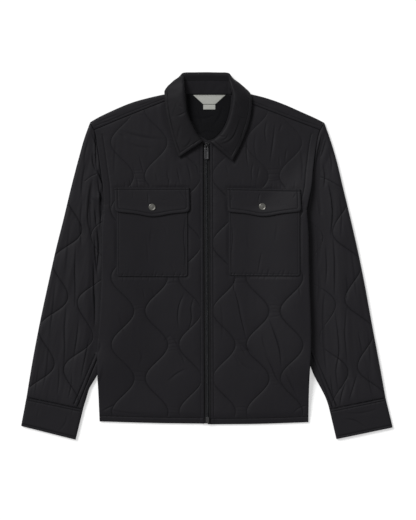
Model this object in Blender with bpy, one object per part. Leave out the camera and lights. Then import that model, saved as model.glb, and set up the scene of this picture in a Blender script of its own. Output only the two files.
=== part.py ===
"""Quilted jacket, zipped up and laid flat on its back.

Tables are in millimetres, in the jacket's own frame: X towards the wearer's left,
Y towards the collar, Z up from the surface that it lies on, zero at the middle of
the garment. "right" and "left" are the wearer's. Objects are made in metres.
"""
import math
from collections import namedtuple

import bmesh
import bpy
import numpy as np
from mathutils import Vector
from mathutils.geometry import delaunay_2d_cdt

MM = 0.001
SIDES = {"right": -1.0, "left": 1.0}

# ---- thickness of the layers, from the floor up ----
GAP = 0.3            # between pieces that are sewn or lie together
BACK_WALL = 5.0      # padded back, its quilted face pressed flat on the floor
HEM_WALL = 3.0       # where the padding ends, along the hem
SLIT = 0.5           # between the back and the fronts, and inside a sleeve
FRONT_WALL = 4.0     # front at a stitch line
PUFF = 5.0           # rise of the padding between two stitch lines
SEAM_Z = BACK_WALL + SLIT + FRONT_WALL
EDGE_WALL = 1.6      # each panel's wall at a rolled side edge
ROLL = 11.0          # width over which a side edge rounds away

# ---- quilting: wavy lines, each the mirror image of the next ----
QUILT_STEP = 72.5
QUILT_WAVE = 24.3
QUILT_PERIOD = 145.0
QUILT_PHASE_Y = -118.5
QUILT_SOFT = 9.0     # how fast the padding rises beside a stitch line
FRONT_LINES = 3

# ---- front closure ----
ZIP_TOP_X, ZIP_BOTTOM_X = -1.1, 1.2
ZIP_HALF_GAP = 6.9
PLACKET = 6.4
NECK_BOTTOM_Y = 238.6
SLIDER_Y = 238.2

Side = namedtuple("Side", "y right left")
Across = namedtuple("Across", "x right left")

# Body edge below the armhole, |x| at each y.
BODY_SIDE = [
    Side(-360, 231.2, 218.4), Side(-330, 232.2, 218.6), Side(-300, 233.4, 219.0),
    Side(-255, 235.5, 220.4), Side(-210, 236.6, 223.2), Side(-140, 231.6, 223.2),
    Side(-60, 227.6, 220.2), Side(0, 227.0, 219.0), Side(66, 226.0, 217.2),
    Side(99, 222.5, 213.9),
]
# Armhole seam.
ARMHOLE = [
    Side(99, 222.5, 213.9), Side(122, 222.6, 218.8), Side(150, 224.0, 224.6),
    Side(180, 228.1, 227.4), Side(214, 232.9, 231.7), Side(247, 237.9, 236.6),
    Side(270, 242.1, 242.6), Side(287.6, 251.6, 252.2),
]
# Outer fold of the sleeve.
SLEEVE_OUTER = [
    Side(287.6, 251.6, 252.2), Side(256, 263.2, 263.6), Side(209, 276.6, 278.0),
    Side(146, 293.0, 293.2), Side(82, 308.3, 308.6), Side(13, 325.6, 324.4),
    Side(-50, 339.8, 337.4), Side(-145, 360.2, 354.8), Side(-235, 377.2, 371.8),
    Side(-304, 388.5, 384.2),
]
# Underarm fold of the sleeve: under the body down to y = -256, free below it.
SLEEVE_INNER = [
    Side(99, 222.5, 213.9), Side(60, 217.5, 209.0), Side(0, 214.0, 205.5),
    Side(-80, 213.5, 205.0), Side(-160, 217.0, 208.5), Side(-215, 224.5, 216.0),
    Side(-256, 236.3, 230.0), Side(-288, 254.4, 247.0), Side(-303, 258.8, 254.6),
    Side(-328, 266.6, 263.4),
]
# Shoulder fold and forward shoulder seam, y at each |x|.
SHOULDER = [
    Across(57, 354.2, 354.2), Across(93, 347.7, 348.6), Across(125, 340.6, 340.8),
    Across(160, 330.8, 328.8), Across(205, 312.3, 309.2), Across(240, 295.0, 293.2),
    Across(251.5, 288.2, 287.2),
]
YOKE_SEAM = [
    Across(50, 348.0, 345.0), Across(95, 331.0, 327.6), Across(165, 303.5, 300.6),
    Across(242.8, 271.3, 271.3),
]
HEM = [
    Across(0, -361.0, -362.6), Across(115, -359.6, -361.4), Across(230, -356.2, -357.4),
]
YOKE_BACK_Y = 205.0
YOKE_END_Y = 271.3
SHOULDER_POINT = (251.5, 287.6)
# Heights at which every piece that meets at the armhole has a point.
ARM_LOW_YS = [99.0 + 13.25 * k for k in range(9)]
ARM_HIGH_YS = [218.4, 231.8, 245.3, 258.7, YOKE_END_Y, 278.4, 283.6]
BACK_NECK_Y = 348.2
NECK_SIDE_X = {"right": 55.2, "left": 61.8}

# Pocket and flap outlines as distances from the centre line; both share the two
# points where the pocket's sides pass under the flap's lower edge.
Spot = namedtuple("Spot", "x y")
POCKET = {
    "right": [Spot(193.6, 95.0), Spot(193.5, -40.6), Spot(190.2, -44.2), Spot(44.5, -45.1),
              Spot(41.2, -41.5), Spot(41.4, 94.7), Spot(41.4, 139.5), Spot(193.7, 139.5)],
    "left": [Spot(199.3, 95.2), Spot(199.6, -40.0), Spot(196.4, -43.6), Spot(49.4, -42.6),
             Spot(46.4, -39.0), Spot(46.6, 94.9), Spot(46.4, 138.5), Spot(198.4, 137.0)],
}
FLAP = {
    "right": [Spot(198.6, 147.0), Spot(197.0, 99.6), Spot(193.6, 95.0), Spot(155.0, 90.3),
              Spot(116.0, 84.2), Spot(76.0, 90.4), Spot(41.4, 94.7), Spot(36.6, 99.6),
              Spot(37.8, 147.2)],
    "left": [Spot(200.3, 143.4), Spot(202.0, 99.7), Spot(199.3, 95.2), Spot(161.0, 90.5),
             Spot(120.4, 84.4), Spot(84.0, 90.6), Spot(46.6, 94.9), Spot(43.9, 99.2),
             Spot(43.0, 146.4)],
}
SNAP = {"right": Spot(117.7, 104.8), "left": Spot(118.8, 105.8)}
PATCH_WALL = 2.0
FLAP_WALL = 2.6
PATCH_CROWN = 1.2
SNAP_RADIUS, SNAP_RIM, SNAP_HEIGHT = 7.5, 1.0, 2.6

# ---- sleeves and cuffs ----
SLEEVE_SPLIT = 4.6       # height of the slit inside a sleeve
SLEEVE_SEAM_Z = 9.3      # top of the sleeve at a stitch line
SLEEVE_PUFF = 4.8
SLEEVE_TUCK_Z = 7.4      # top of the sleeve where the body lies on it
TUCK_LIFT = 8.0          # underside of the body there
LIFT_WIDTH = 42.0        # width over which the body rises onto the sleeve
SLEEVE_ROLL = 8.0
VALLEY = {"right": (5.0, 24.0), "left": (11.0, 30.0)}   # start and width of its rise beside the body
SLIT_INSET = 4.5         # from a fold of the sleeve to the end of its slit
SLEEVE_PERIOD = 147.0
SLEEVE_PHASE = 3.0
SleeveLine = namedtuple("SleeveLine", "across sign")
SLEEVE_LINES = [SleeveLine(-299.0, 1.0), SleeveLine(-228.9, -1.0)]
SLEEVE_SLOPE = {"right": 0.2049, "left": 0.1860}
Corner = namedtuple("Corner", "x y")
CUFF = {
    "right": {"seam_out": Corner(388.5, -303.6), "end_out": Corner(400.2, -365.8),
              "end_in": Corner(282.8, -395.4), "seam_in": Corner(266.6, -329.0)},
    "left": {"seam_out": Corner(384.2, -304.6), "end_out": Corner(399.8, -369.0),
             "end_in": Corner(278.6, -394.2), "seam_in": Corner(263.4, -329.8)},
}
CUFF_Z, CUFF_ROLL, CUFF_SLIT = 8.6, 4.6, 1.4

# ---- collar ----
# From the front end of the collar to the back corner, and the centre back: the roll
# line and the free edge of the leaf in plan, and the heights of the stand's foot, the
# seam on the stand, the roll, the middle of the leaf and its edge. "middle" is how far
# out from the roll, towards the edge, the leaf's middle lies, and "bulge" is how far
# it then stands out to the folded back corner.
Collar = namedtuple("Collar", "roll_x roll_y edge_x edge_y bulge", defaults=(0.0,))
COLLAR = {
    "right": [Collar(8.9, 245.6, 60.3, 211.4), Collar(21.0, 259.0, 67.6, 229.5),
              Collar(34.5, 283.5, 76.2, 257.0), Collar(43.0, 303.2, 83.0, 284.0),
              Collar(46.8, 327.0, 89.2, 316.0), Collar(48.6, 349.0, 90.9, 345.0),
              Collar(50.5, 369.0, 90.8, 354.5, 8.4), Collar(51.0, 383.0, 76.0, 358.0, 9.4),
              Collar(51.0, 393.0, 51.5, 358.5), Collar(28.0, 394.4, 30.0, 358.5)],
    "left": [Collar(6.9, 245.2, 54.7, 203.6), Collar(20.0, 252.4, 63.6, 220.5),
             Collar(36.5, 269.5, 75.4, 245.5), Collar(48.0, 294.0, 87.3, 276.5),
             Collar(54.4, 322.0, 94.9, 309.5), Collar(56.4, 345.0, 95.6, 339.0),
             Collar(53.4, 364.0, 90.2, 353.5, 4.6), Collar(49.4, 378.5, 74.0, 358.2, 7.4),
             Collar(46.2, 392.6, 47.0, 358.5), Collar(26.0, 394.2, 28.0, 358.5)],
}
CENTRE_BACK = Collar(2.0, 394.8, 2.0, 358.5)
CollarZ = namedtuple("CollarZ", "foot seam roll mid edge middle foot_y")
COLLAR_Z = [
    CollarZ(7.8, 13.4, 18.2, 17.6, 13.6, 0.40, 0.0), CollarZ(7.8, 15.0, 20.6, 19.2, 13.4, 0.38, 0.0),
    CollarZ(7.8, 17.0, 23.4, 21.6, 13.4, 0.36, 0.0), CollarZ(7.8, 19.0, 26.0, 23.4, 13.6, 0.34, 0.0),
    CollarZ(7.8, 20.5, 28.0, 25.2, 13.8, 0.34, 0.0), CollarZ(7.8, 21.0, 28.4, 25.4, 13.2, 0.34, 0.0),
    CollarZ(7.4, 18.5, 25.5, 15.5, 9.2, 0.66, -13.0), CollarZ(6.0, 14.2, 20.0, 10.6, 2.6, 0.50, -31.0),
    CollarZ(5.0, 11.6, 14.4, 7.4, 1.7, 0.0, -43.2), CollarZ(4.8, 11.2, 13.6, 7.2, 1.7, 0.0, -44.8),
]
CENTRE_BACK_Z = CollarZ(4.8, 11.2, 13.6, 7.2, 1.7, 0.0, -45.2)
LEAF_WALL = 3.0
STAND_WALL = 2.6
SEAM_CLEAR = 1.9     # from the stand's top to the leaf's start
NECK_CLEAR = 3.6     # fronts' neckline, outward from the roll line

# ---- neck lining, label and size tab ----
LINING_WALL = 1.0
LABEL_WALL = 0.7
LABEL = [Spot(-29.8, 346.4), Spot(39.8, 346.4), Spot(18.2, 326.6), Spot(-8.2, 326.6)]
TAB = [Spot(-8.0, 325.6), Spot(17.9, 325.6), Spot(17.9, 315.2), Spot(-8.0, 315.2)]

# ---- zip ----
TAPE_WALL = 1.5
CHAIN_HALF = 3.1
CHAIN_Z = (7.7, 10.2)
CHAIN_TOP_Y = 231.6
BOX_SIZE = (6.8, 13.0, 4.6)
BOX_Y = -352.3
SLIDER_SIZE = (9.4, 10.2, 2.8)
SLIDER_Z = 7.7
BRIDGE_WIDTH, BRIDGE_WALL, BRIDGE_RISE = 3.0, 1.2, 3.6
BRIDGE_REACH, TUNNEL_REACH = 3.0, 1.8
PIN_RADIUS = 0.75
PIVOT = (-1.1, 237.4, 11.6)
PULL_WIDTH, PULL_LENGTH, PULL_WALL = 9.0, 29.4, 1.5
PULL_HOLE = 1.4
TAB_START = 4.4      # from the pivot to the tab, along the arms
ARM_OUT, ARM_WIDTH = 2.9, 1.5

COLOURS = {
    "shell": ((0.0176, 0.0168, 0.0194), 0.62, 0.0),
    "collar": ((0.0160, 0.0152, 0.0168), 0.62, 0.0),
    "lining": ((0.0080, 0.0080, 0.0095), 0.45, 0.0),
    "label": ((0.40, 0.40, 0.37), 0.75, 0.0),
    "zip": ((0.012, 0.012, 0.013), 0.5, 0.0),
    "metal": ((0.11, 0.108, 0.10), 0.35, 0.9),
    "zip metal": ((0.06, 0.06, 0.062), 0.32, 0.9),
}


# ---------------------------------------------------------------- curves
def spline(keys, values, at):
    """Cubic through (key, value) pairs, read at one key and held beyond the ends."""
    keys, values = np.asarray(keys, float), np.asarray(values, float)
    if keys[0] > keys[-1]:
        keys, values = keys[::-1], values[::-1]
    if at <= keys[0]:
        return float(values[0])
    if at >= keys[-1]:
        return float(values[-1])
    slopes = np.gradient(values, keys)
    i = int(np.searchsorted(keys, at, side="right")) - 1
    step = keys[i + 1] - keys[i]
    t = (at - keys[i]) / step
    return float((2 * t**3 - 3 * t**2 + 1) * values[i] + (t**3 - 2 * t**2 + t) * step * slopes[i]
                 + (-2 * t**3 + 3 * t**2) * values[i + 1] + (t**3 - t**2) * step * slopes[i + 1])


def table_at(rows, side, at):
    """One side's value in a table at a key (its first column)."""
    return spline([row[0] for row in rows], [getattr(row, side) for row in rows], at)


def resample(points, step):
    """The same line in plan with even steps, its two ends kept."""
    points = np.asarray(points, float)
    lengths = np.concatenate([[0.0], np.cumsum(np.linalg.norm(np.diff(points, axis=0), axis=1))])
    count = max(1, int(round(lengths[-1] / step)))
    where = np.linspace(0.0, lengths[-1], count + 1)
    return np.column_stack([np.interp(where, lengths, points[:, k]) for k in range(points.shape[1])])


def chain(*lines):
    """Lines end to end as one closed outline, shared ends kept once."""
    out = []
    for line in lines:
        for point in line:
            if not out or math.dist(out[-1], point) > 0.05:
                out.append((float(point[0]), float(point[1])))
    if math.dist(out[0], out[-1]) <= 0.05:
        out.pop()
    return out


def smoothstep(value):
    """0 to 1 with soft ends."""
    value = min(1.0, max(0.0, value))
    return value * value * (3 - 2 * value)


def edge_distance(outline, x, y):
    """Distance from a closed outline in plan, negative inside it."""
    a = np.asarray(outline, float)
    b = np.roll(a, -1, axis=0)
    p = np.array([x, y])
    along = b - a
    t = np.clip(((p - a) * along).sum(1) / np.maximum((along**2).sum(1), 1e-12), 0, 1)
    far = np.sqrt((((a + along * t[:, None]) - p) ** 2).sum(1).min())
    crosses = (a[:, 1] > y) != (b[:, 1] > y)
    with np.errstate(divide="ignore", invalid="ignore"):
        hit = a[:, 0] + (y - a[:, 1]) * along[:, 0] / along[:, 1]
    inside = np.count_nonzero(crosses & (x < hit)) % 2
    return -float(far) if inside else float(far)


def bullnose(distance, width, height):
    """How far a rounded edge has fallen away at a distance in from it."""
    t = 1 - min(1.0, max(0.0, distance / width))
    return height * (1 - math.sqrt(max(0.0, 1 - t**2.2)))


# ---------------------------------------------------------------- meshes
def material(kind):
    """The cloth, metal or label material of that name, made once."""
    found = bpy.data.materials.get(kind)
    if found:
        return found
    colour, roughness, metallic = COLOURS[kind]
    made = bpy.data.materials.new(kind)
    made.use_nodes = True
    shader = made.node_tree.nodes["Principled BSDF"]
    shader.inputs["Base Color"].default_value = (*colour, 1.0)
    shader.inputs["Roughness"].default_value = roughness
    shader.inputs["Metallic"].default_value = metallic
    made.diffuse_color = (*colour, 1.0)
    return made


def add_object(name, points, faces, kind, origin=(0.0, 0.0, 0.0)):
    """A closed solid from points in millimetres, its faces turned outward."""
    mesh = bpy.data.meshes.new(name)
    shift = np.asarray(origin, float)
    mesh.from_pydata([tuple((np.asarray(p, float) - shift) * MM) for p in points], [], faces)
    work = bmesh.new()
    work.from_mesh(mesh)
    bmesh.ops.recalc_face_normals(work, faces=work.faces)
    if work.calc_volume(signed=True) < 0:
        bmesh.ops.reverse_faces(work, faces=work.faces)
    bmesh.ops.triangulate(work, faces=work.faces)
    work.to_mesh(mesh)
    work.free()
    mesh.shade_smooth()
    mesh.set_sharp_from_angle(angle=math.radians(40))
    made = bpy.data.objects.new(name, mesh)
    made.location = tuple(shift * MM)
    made.data.materials.append(material(kind))
    bpy.context.scene.collection.objects.link(made)
    return made


def triangulate(outline, inner, loops=()):
    """Triangles in plan over an outline, using inner points and closed inner loops."""
    index, points, edges = {}, [], []

    def add(point):
        key = (round(point[0], 2), round(point[1], 2))
        if key not in index:
            index[key] = len(points)
            points.append((float(point[0]), float(point[1])))
        return index[key]

    for loop in (outline, *loops):
        ids = [add(point) for point in loop]
        edges += list(zip(ids, ids[1:] + ids[:1]))
    for point in inner:
        add(point)
    made, _, faces, origins, _, _ = delaunay_2d_cdt(
        [Vector(point) for point in points], edges, [], 1, 1e-5)
    source = [min(ids) if ids else None for ids in origins]
    if None in source or len(made) != len(points):
        raise RuntimeError("two lines of a panel cross")
    return points, [tuple(source[i] for i in face) for face in faces]


def inset_rows(line, outline, insets):
    """Rows of points inside an outline, each a distance in from one of its edges."""
    line = np.asarray(line, float)
    rows = []
    for before, here, after in zip(line, line[1:], line[2:]):
        along = (after - before) / np.linalg.norm(after - before)
        inward = np.array([-along[1], along[0]])
        if edge_distance(outline, *(here + inward)) > 0:
            inward = -inward
        rows += [tuple(here + inward * inset) for inset in insets]
    return rows


def thin_out(points, outline, gap, taken=(), loops=()):
    """Points that lie inside an outline and no nearer than gap to a line or each other."""
    kept, near = [], list(taken)
    for point in points:
        if edge_distance(outline, *point) > -0.55 * gap:
            continue
        if any(abs(edge_distance(loop, *point)) < 0.55 * gap for loop in loops):
            continue
        if any(abs(point[0] - q[0]) < gap and abs(point[1] - q[1]) < gap
               and math.dist(point, q) < gap for q in near):
            continue
        kept.append(point)
        near.append(point)
    return kept


def slab(name, outline, top_net, bottom_net, top, bottom, kind):
    """A wall between two heights over an outline; each net is (points, triangles)."""
    count = len(outline)
    points, faces = [], []
    base = 0
    for (plan, triangles), height in ((top_net, top), (bottom_net, bottom)):
        points += [(x, y, height(x, y)) for x, y in plan]
        faces += [tuple(base + i for i in face) for face in triangles]
        base = len(points)
    low = len(top_net[0])
    for i in range(count):
        j = (i + 1) % count
        faces.append((i, j, low + j, low + i))
    return add_object(name, points, faces, kind)


def plain_slab(name, outline, low, high, kind):
    """A flat plate between two heights."""
    net = triangulate(outline, [])
    return slab(name, outline, net, net, lambda x, y: high, lambda x, y: low, kind)


def part_of(net, outline):
    """The triangles of a net that lie inside a loop, and the loop's order in them."""
    plan, triangles = net
    inside = [face for face in triangles
              if edge_distance(outline, *np.mean([plan[i] for i in face], axis=0)) < 0]
    key = {(round(x, 2), round(y, 2)): i for i, (x, y) in enumerate(plan)}
    rim = [key[(round(x, 2), round(y, 2))] for x, y in outline]
    order = rim + sorted({i for face in inside for i in face} - set(rim))
    place = {old: new for new, old in enumerate(order)}
    return [plan[i] for i in order], [tuple(place[i] for i in face) for face in inside]


def flat_tube(name, lines, inset, top_inner, top, split, slit, kind, bottom):
    """A flattened tube of cloth: one solid with a slit from end to end.

    lines holds the plan of the start end, the inner fold, the far end and the outer
    fold, head to tail; inset is how far from each fold the slit ends.
    """
    start, inner, end, outer = (np.asarray(line, float) for line in lines)
    outline = chain(start, inner, end, outer)
    n_start, n_inner, n_end = len(start) - 1, len(inner) - 1, len(end) - 1
    corners = [0, n_start, n_start + n_inner, n_start + n_inner + n_end, len(outline)]

    def inset_line(first, last):
        ids = [i % len(outline) for i in range(first, last + 1)]
        line = [np.array(outline[i]) for i in ids]
        moved = []
        for k in range(1, len(line) - 1):
            along = line[k + 1] - line[k - 1]
            normal = np.array([-along[1], along[0]]) / np.linalg.norm(along)
            trial = line[k] + normal * inset
            if edge_distance(outline, *trial) > 0:
                trial = line[k] - normal * inset
            moved.append(tuple(trial))
        return moved

    slit_outline, slit_source = [], []
    for first, last, is_end in ((corners[0], corners[1], True), (corners[1], corners[2], False),
                                (corners[2], corners[3], True), (corners[3], corners[4], False)):
        if is_end:
            for i in range(first + 1, last):
                slit_outline.append(outline[i])
                slit_source.append(i)
        else:
            for point in inset_line(first, last):
                slit_outline.append(point)
                slit_source.append(None)
    top_net = triangulate(outline, top_inner)
    bottom_net = triangulate(outline, [])
    slit_net = triangulate(slit_outline, [])
    points, faces, bases = [], [], []
    for net, height in ((top_net, top), (bottom_net, bottom),
                        (slit_net, lambda x, y: split + slit / 2),
                        (slit_net, lambda x, y: split - slit / 2)):
        base = len(points)
        bases.append(base)
        points += [(x, y, height(x, y)) for x, y in net[0]]
        faces += [tuple(base + i for i in face) for face in net[1]]
    t, b, su, sl = bases
    place = {source: k for k, source in enumerate(slit_source) if source is not None}
    count = len(outline)
    for i in range(count):
        j = (i + 1) % count
        if i in place and j in place:
            faces.append((t + i, t + j, su + place[j], su + place[i]))
            faces.append((sl + place[i], sl + place[j], b + j, b + i))
        elif i in place:
            faces.append((su + place[i], t + i, t + j, b + j, b + i, sl + place[i]))
        elif j in place:
            faces.append((t + i, t + j, su + place[j], sl + place[j], b + j, b + i))
        else:
            faces.append((t + i, t + j, b + j, b + i))
    for i in range(len(slit_outline)):
        j = (i + 1) % len(slit_outline)
        if slit_source[i] is None or slit_source[j] is None:
            faces.append((su + i, su + j, sl + j, sl + i))
    return add_object(name, points, faces, kind)


def grid_shell(name, grid, wall, kind):
    """A wall of even thickness about a grid of points."""
    grid = np.asarray(grid, float)
    rows, cols = grid.shape[:2]
    along = np.gradient(grid, axis=0)
    across = np.gradient(grid, axis=1)
    normal = np.cross(along, across)
    normal /= np.linalg.norm(normal, axis=2, keepdims=True)
    points = [tuple(p) for sign in (0.5, -0.5) for p in (grid + normal * wall * sign).reshape(-1, 3)]
    low = rows * cols
    faces = []
    for r in range(rows - 1):
        for c in range(cols - 1):
            a, b, d, e = r * cols + c, r * cols + c + 1, (r + 1) * cols + c + 1, (r + 1) * cols + c
            faces += [(a, b, d, e), (low + a, low + e, low + d, low + b)]
    rim = ([c for c in range(cols)] + [r * cols + cols - 1 for r in range(1, rows)]
           + [(rows - 1) * cols + c for c in range(cols - 2, -1, -1)]
           + [r * cols for r in range(rows - 2, 0, -1)])
    for a, b in zip(rim, rim[1:] + rim[:1]):
        faces.append((a, b, low + b, low + a))
    return add_object(name, points, faces, kind)


# ---------------------------------------------------------------- the body's form
def zip_x(y):
    """The closure's centre line."""
    return ZIP_TOP_X + (ZIP_BOTTOM_X - ZIP_TOP_X) * (NECK_BOTTOM_Y - y) / 600.0


def side_at(side, y):
    """|x| of the body's edge, or of the armhole above it."""
    return table_at(BODY_SIDE, side, y) if y < 99 else table_at(ARMHOLE, side, y)


def tucked_at(side, y):
    """|x| of the sleeve's fold where it lies under the body, moved off above the armhole."""
    return table_at(SLEEVE_INNER, side, min(y, 99)) + 0.9 * max(0.0, y - 99)


def lift(side, x, y):
    """How high the body's underside rides over the sleeve tucked below it."""
    return TUCK_LIFT * smoothstep((abs(x) - tucked_at(side, y) + 3 + LIFT_WIDTH) / LIFT_WIDTH)


def side_distance(side, x, y):
    """Distance in from the rolled side edge; large beside the armhole."""
    return side_at(side, y) - abs(x) + (max(0.0, y - 92) * 0.8)


def hem_distance(side, x, y):
    """Distance up from the hem."""
    return y - table_at(HEM, side, abs(x))


def back_wall(side, x, y):
    """Thickness of the back, thinner towards the hem."""
    return HEM_WALL + (BACK_WALL - HEM_WALL) * smoothstep(hem_distance(side, x, y) / 26)


def side_of(x):
    """Name of the side that a point lies on."""
    return "right" if x < 0 else "left"


def back_top(x, y):
    """Inside of the back."""
    side = side_of(x)
    return lift(side, x, y) + back_wall(side, x, y)


def back_bottom(x, y):
    """Outside of the back: flat on the floor, rolled up at the sides."""
    side = side_of(x)
    room = back_wall(side, x, y) - EDGE_WALL
    return lift(side, x, y) + bullnose(side_distance(side, x, y), ROLL, room)


def wave(y, phase, period):
    """Swing of a stitch line at a place along it, 1 at its phase."""
    return math.cos(2 * math.pi * (y - phase) / period)


def front_line(k, y):
    """Distance of stitch line k from the closure's centre."""
    sign = -1 if k % 2 == 0 else 1
    return (k + 0.5) * QUILT_STEP + sign * QUILT_WAVE * wave(y, QUILT_PHASE_Y, QUILT_PERIOD)


def rise(distances):
    """Padding's rise, 0 to 1, from the distances to what holds it down."""
    out = 1.0
    for distance in distances:
        out *= 1 - math.exp(-abs(distance) / QUILT_SOFT)
    return out


def front_puff(side, x, y):
    """Rise of the quilting on a front."""
    from_zip = abs(x - zip_x(y))
    slope = QUILT_WAVE * 2 * math.pi / QUILT_PERIOD * math.sqrt(
        max(0.0, 1 - wave(y, QUILT_PHASE_Y, QUILT_PERIOD) ** 2))
    lines = [(from_zip - front_line(k, y)) / math.hypot(1, slope) for k in range(FRONT_LINES + 1)]
    lines.append(max(0.0, from_zip - ZIP_HALF_GAP - PLACKET))
    lines.append(max(0.0, hem_distance(side, x, y) - 12))
    lines.append(max(0.0, table_at(YOKE_SEAM, side, abs(x)) - y - 2))
    if y > 80:
        lines.append(max(0.0, side_at(side, max(y, 99)) - abs(x) - 14) + 0.9 * max(0.0, 110 - y))
    return rise(lines)


def leaf_outline(side):
    """Plan of the collar's leaf on one side."""
    sign = SIDES[side]
    rows = COLLAR[side][:7]
    return ([(sign * row.roll_x, row.roll_y) for row in rows]
            + [(sign * row.edge_x, row.edge_y) for row in reversed(rows)])


def pocket_outline(side, rows, step):
    """Pocket or flap outline with even steps between its named points."""
    sign = SIDES[side]
    spots = [(sign * spot.x, spot.y) for spot in rows]
    lines = [resample([a, b], step) for a, b in zip(spots, spots[1:] + spots[:1])]
    return chain(*lines)


def front_top(side):
    """Height function of a front's outside."""
    leaf = leaf_outline(side)
    patch = pocket_outline(side, POCKET[side], 500)
    flap = pocket_outline(side, FLAP[side], 500)

    def height(x, y):
        wall = HEM_WALL + (FRONT_WALL - HEM_WALL) * smoothstep(hem_distance(side, x, y) / 26)
        held = min(edge_distance(patch, x, y), edge_distance(flap, x, y))
        free = smoothstep(held / 9)
        under_leaf = smoothstep((edge_distance(leaf, x, y) - 1) / 12)
        puff = PUFF * front_puff(side, x, y)
        rise_here = (0.8 + (puff - 0.8) * free) * under_leaf + 0.4 * (1 - under_leaf)
        ridge = 0.9 * smoothstep((ZIP_HALF_GAP + PLACKET - abs(x - zip_x(y))) / 1.5 + 1)
        inside = lift(side, x, y) + back_wall(side, x, y) + SLIT
        room = wall + rise_here - EDGE_WALL
        return inside + wall + rise_here + ridge - bullnose(side_distance(side, x, y), ROLL, room)

    return height


def front_inside(x, y):
    """Inside of a front: plain, just above the back."""
    return back_top(x, y) + SLIT


# ---------------------------------------------------------------- pieces
def neckline(side):
    """Plan of a front's neck edge, from the closure up to the shoulder."""
    sign = SIDES[side]
    line = []
    for row in COLLAR[side][:6]:
        out = np.array([row.edge_x - row.roll_x, row.edge_y - row.roll_y])
        out /= np.linalg.norm(out)
        line.append((sign * (row.roll_x + NECK_CLEAR * out[0]), row.roll_y + NECK_CLEAR * out[1]))
    return line


def lift_rows(side):
    """Points that follow the body's rise onto the sleeve, and its thinning at the hem."""
    sign = SIDES[side]
    rows = [(sign * (tucked_at(side, y) - back), y)
            for back in (3, 13, 24, 35, 46) for y in np.arange(-340, 160, 20)]
    rows += [(sign * x, table_at(HEM, side, x) + up) for up in (9, 18, 27) for x in range(12, 226, 24)]
    return rows


def side_line(side):
    """The body's edge in plan, hem to armhole."""
    sign = SIDES[side]
    low = table_at(HEM, side, side_at(side, -355))
    return resample([(sign * side_at(side, y), y) for y in np.linspace(low, 99, 60)], 16)


def arm_line(side, top):
    """The body's armhole edge in plan, underarm to a height."""
    sign = SIDES[side]
    heights = [y for y in ARM_LOW_YS + ARM_HIGH_YS if y < top - 1] + [top]
    return [(sign * (side_at(side, y) - GAP / 2), y) for y in heights]


def make_back():
    """Back panel, hem to yoke."""
    hem, low, arm = {}, {}, {}
    for side, sign in SIDES.items():
        low[side] = side_line(side)
        arm[side] = arm_line(side, YOKE_BACK_Y - GAP)
        hem[side] = resample([(sign * x, table_at(HEM, side, x))
                              for x in np.linspace(0, abs(low[side][0][0]), 12)], 16)
        hem[side][0] = (0.0, (HEM[0].right + HEM[0].left) / 2)
    top = resample([arm["right"][-1], arm["left"][-1]], 30)
    outline = chain(hem["left"], low["left"], arm["left"], top[::-1],
                    arm["right"][::-1], low["right"][::-1], hem["right"][::-1])
    plain = thin_out(lift_rows("right") + lift_rows("left"), outline, 5.0)
    rolled = [point for side in SIDES for point in inset_rows(low[side], outline, (1.2, 4.5, 10.0))]
    rolled = thin_out(rolled, outline, 2.0)
    rolled += thin_out(plain, outline, 6.0, rolled)
    slab("back", outline, triangulate(outline, plain), triangulate(outline, rolled),
         back_top, back_bottom, "shell")


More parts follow.
